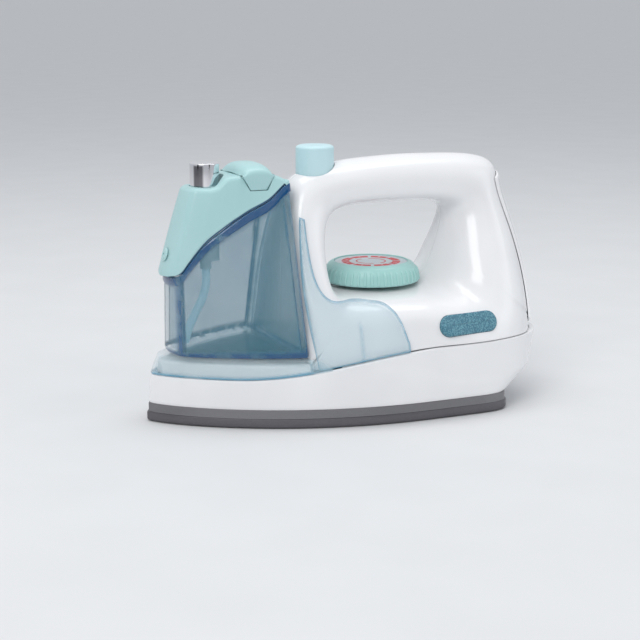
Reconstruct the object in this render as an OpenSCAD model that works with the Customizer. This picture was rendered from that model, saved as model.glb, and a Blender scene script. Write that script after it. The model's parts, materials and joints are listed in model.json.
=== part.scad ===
// Toy iron with a lift-out water tank, a pump button, a steam button and a turning dial.
// Millimetres, +Z up, nose towards -X. The origin is the middle of the soleplate's underside.

/* [Overall] */
// Length from nose to heel
iron_len = 184; // [165:1:205]
// Width across the widest part of the base
iron_w = 100; // [90:1:112]
// Height of the handle's top above the table
handle_top = 111; // [104:1:120]
// Wall of the white shells
shell_wall = 2; // [1.6:0.1:2.4]
// Gap between fixed pieces that fit together
fit_gap = 0.15; // [0.1:0.05:0.25]
// Gap between pieces that move past each other
run_gap = 0.35; // [0.3:0.05:0.5]

/* [Base] */
// Height of the soleplate
sole_h = 8; // [6:0.5:10]
// Thickness of the soleplate's floor
sole_floor = 2.5; // [2:0.1:3]
// Distance from the heel back to the soleplate's rear edge
sole_back = 27; // [20:1:34]
// How far the soleplate stands out below the skirt
sole_lip = 0.8; // [0.4:0.1:1.5]
// Height of the slanted lower edge of the heel
heel_chamfer_h = 9; // [6:0.5:12]
// Height of the parting line at the nose
part_nose_z = 20.5; // [18:0.5:23]
// Height of the parting line at the heel
part_heel_z = 31.5; // [29:0.5:34]
// Half width that the skirt loses on its way up to the parting line
base_draft = 0.8; // [0.4:0.1:1.5]
// Groove between the skirt and the pieces above it
part_gap = 0.4; // [0.3:0.05:0.6]

/* [Clear cover] */
// Thickness of the clear cover
cover_t = 1.8; // [1.4:0.1:2.2]
// Height of the cover's floor under the tank
cover_floor_z = 29.2; // [28:0.1:31]

/* [Dial] */
// Diameter of the dial
dial_d = 45; // [36:1:46]
// Height of the dial
dial_h = 9; // [7:0.5:10]
// Ribs round the dial's edge
dial_ribs = 44; // [24:2:60]

/* [Buttons] */
// Diameter of the steam button
steam_d = 17; // [14:0.5:17.5]
// Height of the steam button's top above the handle's top
steam_up = 6; // [3:0.5:11]
// Travel of the steam button
steam_travel = 2.5; // [1.5:0.1:2.8]
// Diameter of the chrome spray button
spray_d = 12.7; // [11:0.1:13.5]
// Height of the spray button above its platform
spray_up = 9.8; // [8:0.2:12]
// Travel of the spray button
spray_travel = 4; // [2:0.5:5]

/* [Tank] */
// Height of the tank and head's front platform above the table
tank_top = 101.5; // [98:0.5:105]
// Length of the tank
tank_len = 50; // [46:0.5:52]
// Width of the tank's back at the bottom
tank_back_w = 73; // [66:1:76]
// Width of the tank's back at the top
tank_top_w = 29; // [27:0.5:32]
// Wall of the tank and head
tank_wall = 1.8; // [1.4:0.1:2.2]
// Height of the thick rim along the tank's top edge
rim_h = 4; // [3:0.5:6]
// Thickness of the gasket between tank and head
gasket_t = 1; // [0.6:0.1:1.5]
// Height of the filler cap's dome above the platform
cap_up = 9.5; // [7:0.5:11]
// Diameter of the filler neck's bore
neck_d = 10.5; // [9:0.5:11]

/* [Lens] */
// Length of each side lens
lens_len = 30; // [24:1:34]
// Height of each side lens
lens_h = 9.5; // [7:0.5:10]
// Depth of each side lens
lens_depth = 4; // [3:0.5:5]

/* [Battery] */
// Diameter of a battery cell
cell_d = 14.5; // [10.5:0.5:14.5]
// Length of a battery cell
cell_len = 50.5; // [44:0.5:51]
// Number of battery cells
cell_count = 3; // [2:1:3]

/* [Hidden] */
$fn = 48;
over = 1;

half_len = iron_len / 2;
half_w = iron_w / 2;
nose_x = -half_len;
heel_x = half_len;

// Plan of the base: a gothic nose, the widest place, and a squared heel.
wide_share = 0.22;
wide_x = wide_share * half_len;
nose_power = 0.75;
nose_rake = 2;
heel_step = 1;
sole_x = heel_x - sole_back;
sole_corner = 8;
chamfer_corner = 4.5;
heel_corner = 3;
heel_back = 10;
plan_front_steps = 9;
plan_rear_steps = 7;
nose_bunch = 1.5;

function clamp(t) = max(0, min(1, t));
function mix(a, b, t) = a + (b - a) * t;

function plan_w(x, w, xn, xr, corner) =
    x < wide_x ? w * sin(90 * pow(clamp((x - xn) / (wide_x - xn)), nose_power))
               : w * pow(1 - pow(clamp((x - wide_x) / (xr - wide_x)), corner), 1 / corner);

// Half of a plan outline, from the nose to the middle of the back, as [x, half width].
function plan_half(w, xn, xr, corner) = concat(
    [for (i = [0 : plan_front_steps])
        let (t = pow(i / plan_front_steps, nose_bunch), x = mix(xn, wide_x, t))
        [x, w * sin(90 * pow(t, nose_power))]],
    [for (i = [1 : plan_rear_steps])
        let (a = 90 * (1 - i / plan_rear_steps))
        [mix(wide_x, xr, pow(cos(a), 2 / corner)), i == plan_rear_steps ? 0 : w * pow(sin(a), 2 / corner)]]);

function mirrored(half) = concat(
    [for (p = half) [p[0], -p[1]]],
    [for (i = [len(half) - 2 : -1 : 1]) half[i]]);

part_from_share = -0.67;
part_to_share = 0.33;
function part_z(x) =
    let (t = clamp((x / half_len - part_from_share) / (part_to_share - part_from_share)))
    mix(part_nose_z, part_heel_z, t * t * (3 - 2 * t));
function part_w(x) =
    plan_w(x, half_w - base_draft, nose_x + nose_rake, heel_x - heel_step, heel_corner);

// A solid through level loops that mirror about the middle plane. Each level lists [x, half width, z]
// from nose to heel and starts and ends on the middle plane.
module loop_loft(levels) {
    n = len(levels[0]) - 1;
    count = 2 * n;
    points = [for (level = levels) each concat(
        [for (p = level) [p[0], -p[1], p[2]]],
        [for (i = [1 : n - 1]) [level[i][0], level[i][1], level[i][2]]])];
    near = function (k, i) k * count + i;
    far = function (k, i) (i == 0 || i == n) ? near(k, i) : k * count + n + i;
    last = len(levels) - 1;
    sides = [for (k = [0 : last - 1]) for (i = [0 : n - 1]) each [
        [near(k, i), near(k + 1, i), near(k + 1, i + 1)],
        [near(k, i), near(k + 1, i + 1), near(k, i + 1)],
        [far(k, i), far(k + 1, i + 1), far(k + 1, i)],
        [far(k, i), far(k, i + 1), far(k + 1, i + 1)]]];
    caps = [for (i = [0 : n - 1]) each [
        if (i < n - 1) [near(0, i), near(0, i + 1), far(0, i + 1)],
        if (i > 0) [near(0, i), far(0, i + 1), far(0, i)],
        if (i < n - 1) [near(last, i), far(last, i + 1), near(last, i + 1)],
        if (i > 0) [near(last, i), far(last, i), far(last, i + 1)]]];
    polyhedron(points, concat(sides, caps), convexity = 6);
}

// A solid through ribs of equal point counts, one after another, with flat ends.
module rib_loft(ribs) {
    n = len(ribs[0]);
    last = len(ribs) - 1;
    points = [for (rib = ribs) each rib];
    sides = [for (k = [0 : last - 1]) for (i = [0 : n - 1]) let (j = (i + 1) % n) each [
        [k * n + i, (k + 1) * n + i, (k + 1) * n + j],
        [k * n + i, (k + 1) * n + j, k * n + j]]];
    ends = [for (i = [1 : n - 2]) each [
        [0, i, i + 1],
        [last * n, last * n + i + 1, last * n + i]]];
    polyhedron(points, concat(sides, ends), convexity = 6);
}

// A thin wall between two grids of points, with rims along its open edges.
module grid_wall(outer, inner, closed) {
    nu = len(outer);
    nv = len(outer[0]);
    step = nu * nv;
    points = concat([for (row = outer) each row], [for (row = inner) each row]);
    at = function (i, j) (i % nu) * nv + j;
    spans = closed ? nu : nu - 1;
    skins = [for (i = [0 : spans - 1]) for (j = [0 : nv - 2])
        let (a = at(i, j), b = at(i + 1, j), c = at(i + 1, j + 1), d = at(i, j + 1)) each [
        [a, b, c], [a, c, d],
        [step + a, step + c, step + b], [step + a, step + d, step + c]]];
    rims = [for (i = [0 : spans - 1])
        let (a = at(i, 0), b = at(i + 1, 0), c = at(i, nv - 1), d = at(i + 1, nv - 1)) each [
        [a, step + a, step + b], [a, step + b, b],
        [c, d, step + d], [c, step + d, step + c]]];
    ends = closed ? [] : [for (j = [0 : nv - 2])
        let (a = at(0, j), b = at(0, j + 1), c = at(nu - 1, j), d = at(nu - 1, j + 1)) each [
        [a, b, step + b], [a, step + b, step + a],
        [c, step + c, step + d], [c, step + d, d]]];
    polyhedron(points, concat(skins, rims, ends), convexity = 10);
}

// A slab that fills everything under (or over) a side-view line of [x, z] points.
module side_slab(line, far_z) {
    rotate([90, 0, 0]) linear_extrude(height = iron_w + 2 * over, center = true)
        polygon(concat(line, [[line[len(line) - 1][0], far_z], [line[0][0], far_z]]));
}

part_steps = 28;
part_reach_share = 1.1;
part_line = [for (i = [0 : part_steps])
    let (x = mix(part_reach_share * nose_x, part_reach_share * heel_x, i / part_steps)) [x, part_z(x) + part_gap]];

// The handle is wide enough inside for the steam button's guide.
steam_flange = 0.5;
guide_wall = 0.8;
guide_room = 0.65;
guide_d = steam_d + 2 * (steam_flange + run_gap + guide_wall);
grip_half_w = guide_d / 2 + guide_room + shell_wall;

// White upper body: sections swept round the finger opening. Each row gives the opening's edge [x, z],
// the outer edge [x, z] and the half width, as shares of half length, handle height and half width.
body_rows_shares = [
    [ 0.087, 0.478,  0.087, 0.144, 0.925],
    [ 0.272, 0.478,  0.402, 0.144, 0.964],
    [ 0.424, 0.488,  0.696, 0.135, 0.948],
    [ 0.480, 0.540,  0.950, 0.144, 0.840],
    [ 0.522, 0.622,  0.987, 0.387, 0.640],
    [ 0.549, 0.698,  0.950, 0.622, 0.450],
    [ 0.560, 0.764,  0.865, 0.842, 0.310],
    [ 0.511, 0.802,  0.815, 0.976, 0.268],
    [ 0.391, 0.811,  0.457, 1.000, 0.256],
    [ 0.196, 0.811,  0.217, 0.998, 0.256],
    [ 0.011, 0.805, -0.054, 0.980, 0.256],
    [-0.092, 0.766, -0.283, 0.914, 0.270],
    [-0.136, 0.649, -0.310, 0.667, 0.420],
    [-0.141, 0.527, -0.315, 0.414, 0.620],
    [-0.076, 0.481, -0.315, 0.135, 0.796]
];
// Section forms from the opening's edge outwards, as [share of the depth, share of the half width].
deck_shares = [[0, 0], [0.018, 0.45], [0.06, 0.76], [0.19, 0.925], [0.42, 0.98], [0.65, 1], [0.90, 0.85], [1, 0]];
fillet_shares = [[0, 0], [0.05, 0.42], [0.15, 0.74], [0.29, 0.92], [0.48, 0.985], [0.68, 1], [0.90, 0.85], [1, 0]];
heel_shares = [[0, 0], [0.07, 0.42], [0.22, 0.78], [0.40, 0.96], [0.58, 1], [0.76, 0.90], [0.92, 0.50], [1, 0]];
rear_shares = [[0, 0], [0.06, 0.42], [0.20, 0.78], [0.40, 0.97], [0.62, 1], [0.82, 0.78], [0.955, 0.40], [1, 0]];
bar_shares = [[0, 0], [0.03, 0.50], [0.14, 0.90], [0.36, 1], [0.60, 0.97], [0.82, 0.78], [0.95, 0.42], [1, 0]];
post_shares = [[0, 0], [0.05, 0.50], [0.16, 0.86], [0.40, 1], [0.72, 1], [0.96, 0.94], [1, 0.70], [1, 0]];
toe_shares = [[0, 0], [0.018, 0.45], [0.07, 0.76], [0.20, 0.925], [0.45, 0.98], [0.72, 1], [0.98, 0.94], [1, 0]];
body_forms_shares = [
    deck_shares, deck_shares, fillet_shares, heel_shares, rear_shares, rear_shares, rear_shares,
    bar_shares, bar_shares, bar_shares, bar_shares, bar_shares, post_shares, post_shares, toe_shares
];
body_rows = len(body_rows_shares);
form_last = len(deck_shares) - 1;
form_loop = 2 * form_last;

// The closed ring of control points of one section, near side first.
function section_points(k) =
    let (r = body_rows_shares[k], form = body_forms_shares[k], w = max(r[4] * half_w, grip_half_w))
    [for (i = [0 : form_loop - 1])
        let (j = i <= form_last ? i : form_loop - i, side = i <= form_last ? -1 : 1, t = form[j][0])
        [mix(r[0], r[2], t) * half_len, side * form[j][1] * w, mix(r[1], r[3], t) * handle_top]];
body_points = [for (k = [0 : body_rows - 1]) section_points(k)];

function spline(a, b, c, d, t) =
    (2 * b + (c - a) * t + (2 * a - 5 * b + 4 * c - d) * t * t + (3 * b - a - 3 * c + d) * t * t * t) / 2;
function section_at(k, v) =
    let (i = floor(v), t = v - i, n = form_loop, ring = body_points[k % body_rows])
    spline(ring[(i - 1 + 2 * n) % n], ring[(i + n) % n], ring[(i + 1 + n) % n], ring[(i + 2 + n) % n], t);
function body_at(u, v) =
    let (i = floor(u), t = u - i, n = body_rows)
    spline(section_at(i - 1 + n, v), section_at(i + n, v), section_at(i + 1 + n, v), section_at(i + 2 + n, v), t);
normal_step = 0.05;
function body_out(u, v) =
    let (e = normal_step, a = body_at(u + e, v) - body_at(u - e, v), b = body_at(u, v + e) - body_at(u, v - e),
         c = cross(b, a))
    c / norm(c);
function body_off(u, v, d) = body_at(u, v) + d * body_out(u, v);

body_row_steps = 2;
body_form_steps = 2;

// A place on the faceted body, moved out by d: the corner points of one facet, mixed the way the facet is split.
function body_facet(u, v, d) =
    let (m = body_row_steps, n = body_form_steps, i = floor(u * m) / m, j = floor(v * n) / n,
         s = (u - i) * m, t = (v - j) * n, a = body_off(i, j, d), c = body_off(i + 1 / m, j + 1 / n, d))
    s > t ? let (b = body_off(i + 1 / m, j, d)) a + s * (b - a) + t * (c - b)
          : let (e = body_off(i, j + 1 / n, d)) a + t * (e - a) + s * (c - e);
steam_top = handle_top + steam_up;
deck_z = body_rows_shares[0][1] * handle_top;

module body_skin() {
    us = [for (i = [0 : body_rows * body_row_steps - 1]) i / body_row_steps];
    vs = [for (j = [0 : form_last * body_form_steps]) j / body_form_steps];
    grid_wall([for (u = us) [for (v = vs) body_off(u, v, 0)]],
              [for (u = us) [for (v = vs) body_off(u, v, -shell_wall)]], true);
}

// Screws that join the two halves, as [row, form] places on the body, with their seat near the middle plane.
body_screw_shares = [[0.30, 3.6], [2.75, 3.55], [7.50, 3.4], [9.60, 3.4]];
body_screw_seat = 6;
body_screw_d = 2.6;
body_screw_head_d = 5.6;
body_screw_head_h = 2;
body_screw_grip = 8;
boss_wall = 1.5;
boss_sink_share = 1.1;
function boss_place(s) = body_at(s[0], s[1]);

module along_y(p, y0, y1, d) {
    translate([p[0], y0, p[2]]) rotate([-90, 0, 0]) cylinder(h = y1 - y0, d = d);
}

// Lens seat: a place on the body as [row, form], with the lens facing straight out of the surface.
lens_seat_shares = [1.67, 3.45];
lens_p = body_at(lens_seat_shares[0], lens_seat_shares[1]);
lens_out = body_out(lens_seat_shares[0], lens_seat_shares[1]);
lens_proud = 0.4;

module at_lens() translate(lens_p) rotate([0, 0, atan2(lens_out[0], -lens_out[1])])
    rotate([90 - asin(lens_out[2]), 0, 0]) children();

module lens_blank(grow, depth, proud) {
    at_lens() translate([0, 0, -depth]) linear_extrude(height = depth + proud) {
        square([lens_len - lens_h, lens_h + 2 * grow], center = true);
        for (side = [-1, 1]) translate([side * (lens_len - lens_h) / 2, 0]) circle(r = lens_h / 2 + grow);
    }
}

steam_x_share = -0.13;
steam_x = steam_x_share * half_len;
dial_x_share = 0.174;
dial_x = dial_x_share * half_len;
spindle_stem_d = 7.6;
body_front_gap = 0.9;

module body_half_near() {
    difference() {
        union() {
            body_skin();
            for (s = body_screw_shares) let (p = boss_place(s))
                along_y(p, p[1] + boss_sink_share * shell_wall, -fit_gap, body_screw_head_d + 2 * boss_wall);
        }
        side_slab(part_line, -over);
        translate([nose_x, -half_w, 0]) cube([tank_back_x + body_front_gap - nose_x, iron_w, handle_top]);
        translate([steam_x, 0, guide_z]) cylinder(h = steam_top, d = steam_d + 2 * run_gap);
        translate([dial_x, 0, deck_z - 2 * shell_wall]) cylinder(h = 3 * shell_wall, d = spindle_stem_d + 2 * fit_gap);
        lens_blank(fit_gap, lens_depth + shell_wall, lens_depth);
    }
}

module body_left() color("white") difference() {
    body_half_near();
    for (s = body_screw_shares) let (p = boss_place(s))
        along_y(p, -body_screw_grip - over, over, body_screw_d - 2 * fit_gap);
}

module body_right() color("white") difference() {
    mirror([0, 1, 0]) body_half_near();
    for (s = body_screw_shares) let (p = boss_place(s)) {
        along_y(p, -over, half_w, body_screw_d + 2 * fit_gap);
        along_y(p, body_screw_seat, half_w, body_screw_head_d + 2 * fit_gap);
    }
}

module body_screws() color("silver")
    for (s = body_screw_shares) let (p = boss_place(s)) {
        along_y(p, -body_screw_grip, body_screw_seat + fit_gap, body_screw_d - 4 * fit_gap);
        along_y(p, body_screw_seat, body_screw_seat + body_screw_head_h, body_screw_head_d);
    }

// Strip down the back, laid over the body's sections from the heel to the handle's rear corner.
heel_cover_t = 1;
heel_rows_shares = [3.5, 6.5];
heel_form_share = 5;

module heel_cover() color("white") difference() {
    us = [for (i = [0 : (heel_rows_shares[1] - heel_rows_shares[0]) * body_row_steps])
        heel_rows_shares[0] + i / body_row_steps];
    vs = [for (j = [0 : 2 * (form_last - heel_form_share) * body_form_steps]) heel_form_share + j / body_form_steps];
    grid_wall([for (u = us) [for (v = vs) body_off(u, v, 2 * fit_gap + heel_cover_t)]],
              [for (u = us) [for (v = vs) body_off(u, v, 2 * fit_gap)]], false);
    side_slab(part_line, -over);
}

// Soleplate: a pan with a battery opening, a speaker grille and posts for the circuit board.
sole_wall = 2.4;
sole_band_h = 4.2;
sole_band_in = 0.5;
post_d = 6;
screw_d = 2.6;
screw_head_d = 5.4;
screw_head_h = 1.6;
screw_len = 9;

module plan_plate(inset, z0, z1) {
    translate([0, 0, z0]) linear_extrude(height = z1 - z0)
        polygon(mirrored(plan_half(half_w - inset, nose_x + nose_bunch * inset, sole_x - inset, sole_corner)));
}

contact_room = 3.5;
box_wall = 1.5;
cell_room = 0.2;
cell_pitch = cell_d + cell_room;
bay_len = cell_len + 2 * contact_room;
bay_w = cell_count * cell_pitch + cell_room;
bay_h = cell_d + 2 * cell_room;
bay_gap = 1.5;
battery_x = sole_x - sole_wall - sole_band_in - bay_gap - box_wall - bay_len / 2;
door_gap = 0.25;
door_ledge = 1.2;
door_tongue = 9;
door_t = sole_floor - fit_gap;
door_screw_x = battery_x - bay_len / 2 - door_tongue / 2;

board_len = 24;
board_w = 40;
board_t = 1.6;
board_z = 13;
board_x_share = -0.36;
board_x = board_x_share * half_len;
board_post_share = 0.38;

speaker_d = 27;
speaker_h = 6;
speaker_x_share = -0.59;
speaker_x = speaker_x_share * half_len;
grille_hole_d = 2.2;
grille_holes = 6;
grille_share = 0.28;

sole_screw_shares = [[-0.30, 0.68], [0.56, 0.72]];
function sole_screw_places() = [for (s = sole_screw_shares) for (side = [-1, 1]) [s[0] * half_len, side * s[1] * half_w]];
sole_post_top = part_nose_z - 2 * shell_wall;

module door_outline(grow) {
    translate([battery_x, 0]) square([bay_len + 2 * grow, bay_w + 2 * grow], center = true);
    translate([door_screw_x + door_tongue / 4, 0])
        square([1.5 * door_tongue + 2 * grow, screw_head_d + 2 * door_ledge + 2 * grow], center = true);
}

module soleplate() color("dimgray") difference() {
    union() {
        plan_plate(0, 0, sole_band_h);
        plan_plate(sole_band_in, sole_band_h, sole_h);
        for (side = [-1, 1]) translate([board_x, side * board_post_share * board_w, 0])
            cylinder(h = board_z, d = post_d);
        for (p = sole_screw_places()) translate(p) cylinder(h = sole_post_top, d = post_d);
    }
    difference() {
        plan_plate(sole_wall + sole_band_in, sole_floor, sole_h + over);
        for (side = [-1, 1]) translate([board_x, side * board_post_share * board_w, 0])
            cylinder(h = board_z, d = post_d);
        for (p = sole_screw_places()) translate(p) cylinder(h = sole_post_top, d = post_d);
    }
    translate([0, 0, -over]) linear_extrude(height = sole_floor + 2 * over) door_outline(door_gap);
    translate([speaker_x, 0, -over]) cylinder(h = sole_floor + 2 * over, d = grille_hole_d);
    for (i = [0 : grille_holes - 1]) translate([speaker_x, 0, -over]) rotate(360 * i / grille_holes)
        translate([grille_share * speaker_d, 0]) cylinder(h = sole_floor + 2 * over, d = grille_hole_d);
    for (p = sole_screw_places()) translate(p) {
        translate([0, 0, -over]) cylinder(h = screw_head_h + fit_gap + over, d = screw_head_d + 2 * fit_gap);
        translate([0, 0, -over]) cylinder(h = sole_post_top + 2 * over, d = screw_d + 2 * fit_gap);
    }
}

module round_screw(h) {
    cylinder(h = screw_head_h, d = screw_head_d);
    cylinder(h = h, d = screw_d);
}

module sole_screws() color("silver")
    for (p = sole_screw_places()) translate([p[0], p[1], fit_gap]) round_screw(sole_post_top - 2 * fit_gap);

// White skirt between the sole and the parting line, with a slanted lower edge at the heel.
skirt_corners = [sole_corner, chamfer_corner, heel_corner];

function skirt_level(k, inset, lift) =
    let (rear = [sole_x - sole_lip, heel_x - heel_back, heel_x - heel_step][k],
         w = half_w - [sole_lip, (sole_lip + base_draft) / 2, base_draft][k],
         nose = nose_x + [nose_bunch * sole_lip, (nose_bunch * sole_lip + nose_rake) / 2, nose_rake][k])
    [for (p = plan_half(w - inset, nose + nose_bunch * inset, rear - inset, skirt_corners[k]))
        [p[0], p[1], lift + [sole_h, sole_h + heel_chamfer_h, part_z(p[0])][k]]];

module base_skirt() color("white") difference() {
    loop_loft([for (k = [0 : 2]) skirt_level(k, 0, 0)]);
    loop_loft([skirt_level(0, shell_wall, -over), skirt_level(0, shell_wall, 0),
               skirt_level(1, shell_wall, 0), skirt_level(2, shell_wall, over)]);
}

// Clear cradle: a tray that the tank stands on, with a wing up each side of the front post.
tank_gap = 0.3;
tank_back_x_share = -0.3326;
tank_back_x = tank_back_x_share * half_len;
tank_front_x = tank_back_x - tank_len;
tank_z0 = cover_floor_z + tank_gap;
tray_shoulder = 2.2;
tray_rake = 5;
tray_steps = 9;
tray_tip = 0.5;
tray_tip_share = 0.5;
strip_in = 3.5;
cradle_gap = 0.7;

function tray_rib(x, inset, drop) =
    let (wb = max(part_w(x) - inset, tray_tip_share * part_w(x)), rise = clamp((x - nose_x - nose_rake) / tray_rake),
         wt = max(wb - tray_shoulder * rise, tray_tip_share * wb), zb = part_z(x) + part_gap - drop,
         zt = mix(part_z(x) + part_gap + tray_tip, cover_floor_z, rise) - inset)
    [[x, wb, zb], [x, wt, zt], [x, -wt, zt], [x, -wb, zb]];
function tray_xs(x0, x1) = [for (i = [0 : tray_steps]) mix(x0, x1, pow(i / tray_steps, nose_bunch))];

module tray(inset, wall) {
    x0 = nose_x + nose_rake + tray_tip + nose_bunch * inset;
    x1 = tank_back_x + tank_gap;
    difference() {
        rib_loft([for (x = tray_xs(x0, x1)) tray_rib(x, inset, 0)]);
        rib_loft([for (x = tray_xs(x0 + nose_bunch * wall, x1 + over)) tray_rib(x, inset + wall, over)]);
    }
}

// Wing edge over the body's sections: [row, form where the wing begins, form where it ends].
wing_shares = [
    [11.5, 4.45, 4.9], [12.0, 4.15, 4.9], [12.5, 3.75, 4.9], [13.0, 3.15, 4.9], [13.5, 2.40, 5.1],
    [14.0, 1.95, 5.6], [14.5, 2.00, 5.4], [14.85, 2.40, 5.4], [15.0, 3.00, 5.4], [15.1, 3.65, 5.4], [15.17, 4.40, 5.4]
];
wing_steps = 12;
wing_gap = 0.5;

module wing() difference() {
    places = [for (w = wing_shares) [for (j = [0 : wing_steps]) [w[0], mix(w[1], w[2], j / wing_steps)]]];
    grid_wall([for (row = places) [for (p = row) body_facet(p[0], p[1], wing_gap + cover_t)]],
              [for (row = places) [for (p = row) body_facet(p[0], p[1], wing_gap)]], false);
    side_slab(part_line, -over);
}

module strip() {
    xs = [tank_back_x - strip_in, tank_back_x + strip_in];
    rib_loft([for (x = xs) let (w = part_w(x), top = w - tray_shoulder / 2, z = part_z(x) + part_gap)
        [[x, cover_t - w, z], [x, cover_t - top, cover_floor_z], [x, -top, cover_floor_z], [x, -w, z]]]);
}

module front_cover() color("lightcyan", 0.6) union() {
    tray(0, cover_t);
    for (side = [0, 1]) mirror([0, side, 0]) {
        wing();
        strip();
    }
}

module cradle_base() color("white") tray(cover_t + cradle_gap, shell_wall - 2 * fit_gap);

module lens_left() color("teal") lens_blank(0, lens_depth, lens_proud);
module lens_right() color("teal") mirror([0, 1, 0]) lens_left();

led_d = 5;
led_len = 7;

module leds() color("lightyellow") for (side = [0, 1]) mirror([0, side, 0]) at_lens()
    translate([0, 0, -lens_depth - fit_gap - led_len]) cylinder(h = led_len, d = led_d);

chip_len = 8;
chip_w = 12;
chip_h = 3;

module circuit_board() color("darkgreen") {
    translate([board_x - board_len / 2, -board_w / 2, board_z]) cube([board_len, board_w, board_t]);
    translate([board_x - chip_len / 2, -chip_w / 2, board_z + board_t / 2]) cube([chip_len, chip_w, chip_h]);
}

magnet_share = 0.5;

module speaker() color("black") translate([speaker_x, 0, sole_floor]) {
    cylinder(h = speaker_h / 2, d = speaker_d);
    cylinder(h = speaker_h, d = magnet_share * speaker_d);
}

module battery_box() color("black") difference() {
    translate([battery_x, 0, sole_floor]) linear_extrude(height = bay_h + box_wall)
        square([bay_len + 2 * box_wall, bay_w + 2 * box_wall], center = true);
    translate([battery_x, 0, sole_floor - over]) linear_extrude(height = bay_h + over)
        square([bay_len, bay_w], center = true);
}

function cell_y(i) = (i - (cell_count - 1) / 2) * cell_pitch;
cell_z = sole_floor + cell_room + cell_d / 2;
tip_d = 5;
tip_len = 1;

module along_x(x0, x1, y, z, d) {
    translate([x0, y, z]) rotate([0, 90, 0]) cylinder(h = x1 - x0, d = d);
}

module battery_cells() color("darkslateblue") for (i = [0 : cell_count - 1]) {
    along_x(battery_x - cell_len / 2, battery_x + cell_len / 2 - tip_len, cell_y(i), cell_z, cell_d);
    along_x(battery_x, battery_x + cell_len / 2, cell_y(i), cell_z, tip_d);
}

contact_t = 0.5;
contact_share = 0.7;

module battery_contacts() color("silver") for (i = [0 : cell_count - 1]) for (side = [-1, 1])
    translate([battery_x + side * (bay_len - contact_t - 2 * fit_gap) / 2, cell_y(i), cell_z])
        cube([contact_t, contact_share * cell_d, contact_share * cell_d], center = true);

spring_share = 0.55;

// Each end of a cell has a conical spring or a bump between the cell and its contact.
module battery_springs() color("silver") for (i = [0 : cell_count - 1]) for (side = [-1, 1]) {
    room = contact_room - contact_t - 4 * fit_gap;
    translate([battery_x + side * (cell_len / 2 + fit_gap), cell_y(i), cell_z]) rotate([0, side * 90, 0])
        cylinder(h = room, d1 = spring_share * cell_d / 2, d2 = spring_share * cell_d);
}

module battery_door() color("dimgray") difference() {
    linear_extrude(height = door_t) door_outline(0);
    translate([door_screw_x, 0, -over]) cylinder(h = screw_head_h + fit_gap + over, d = screw_head_d + 2 * fit_gap);
    translate([door_screw_x, 0, -over]) cylinder(h = door_t + 2 * over, d = screw_d + 2 * fit_gap);
}

module door_screw() color("silver") translate([door_screw_x, 0, fit_gap]) round_screw(screw_len);

// Steam button, in a cup inside the handle, over a push switch.
guide_share = 0.824;
guide_z = guide_share * handle_top;
guide_floor = 1.2;
guide_h = 7;
steam_flange_h = 1.5;
steam_bore_share = 0.76;
switch_w = 5;
switch_h = 3.2;
plunger_d = 3;
plunger_h = 0.8;
steam_z = guide_z + guide_floor + steam_travel + run_gap;
steam_crown = 1.2;
stop_d = 4;
stop_z = guide_z + guide_floor + switch_h + plunger_h + steam_travel + run_gap;
spring_wire = 0.9;
steam_spring_d = steam_bore_share * steam_d - 2 * run_gap;
steam_shoulder = 3;

module button_guide() color("white") translate([steam_x, 0, guide_z]) difference() {
    cylinder(h = guide_h, d = guide_d);
    translate([0, 0, guide_floor]) cylinder(h = guide_h, d = guide_d - 2 * guide_wall);
}

module push_switch() color("black") translate([steam_x, 0, guide_z + guide_floor]) {
    translate([-switch_w / 2, -switch_w / 2, 0]) cube([switch_w, switch_w, switch_h]);
    cylinder(h = switch_h + plunger_h, d = plunger_d);
}

module steam_button() color("paleturquoise") translate([steam_x, 0, 0]) difference() {
    rotate_extrude() polygon([
        [0, steam_z], [steam_d / 2 + steam_flange, steam_z], [steam_d / 2 + steam_flange, steam_z + steam_flange_h],
        [steam_d / 2, steam_z + steam_flange_h], [steam_d / 2, steam_top - steam_crown],
        [steam_d / 2 - steam_crown, steam_top], [0, steam_top]]);
    difference() {
        translate([0, 0, steam_z - over])
            cylinder(h = stop_z + steam_shoulder - steam_z + over, d = steam_bore_share * steam_d);
        translate([0, 0, stop_z]) cylinder(h = steam_shoulder, d = stop_d);
    }
}

module button_spring() color("silver") translate([steam_x, 0, guide_z + guide_floor]) difference() {
    cylinder(h = stop_z + steam_shoulder - guide_z - guide_floor, d = steam_spring_d);
    translate([0, 0, -over]) cylinder(h = stop_z, d = steam_spring_d - 2 * spring_wire);
}

// Dial on a fixed spindle, held by a screw under its printed label.
dial_lift = 1.3;
spindle_flange_d = 14;
spindle_flange_h = 2.2;
spindle_pin_d = 6;
spindle_play = 0.06;
web_h = 3;
label_t = 0.5;
label_share = 0.74;
dial_wall = 1.6;
dial_taper = 1.5;
dial_round = 2.4;
rib_deep = 0.55;
rib_points = 4;
label_d = label_share * dial_d;
spindle_top = deck_z + dial_lift + web_h + run_gap;

module dial_spindle() color("white") translate([dial_x, 0, 0]) difference() {
    union() {
        translate([0, 0, deck_z - shell_wall - 2 * fit_gap - spindle_flange_h])
            cylinder(h = spindle_flange_h, d = spindle_flange_d);
        translate([0, 0, deck_z - shell_wall - spindle_flange_h])
            cylinder(h = shell_wall + spindle_flange_h + dial_lift - run_gap, d = spindle_stem_d);
        translate([0, 0, deck_z]) cylinder(h = spindle_top - deck_z, d = spindle_pin_d);
    }
    translate([0, 0, deck_z]) cylinder(h = spindle_top - deck_z + over, d = screw_d + 2 * fit_gap);
}

module dial_screw() color("silver") translate([dial_x, 0, spindle_top]) {
    cylinder(h = screw_head_h, d = spindle_pin_d + 2 * box_wall);
    translate([0, 0, -web_h]) cylinder(h = web_h + screw_head_h, d = screw_d);
}

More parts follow.
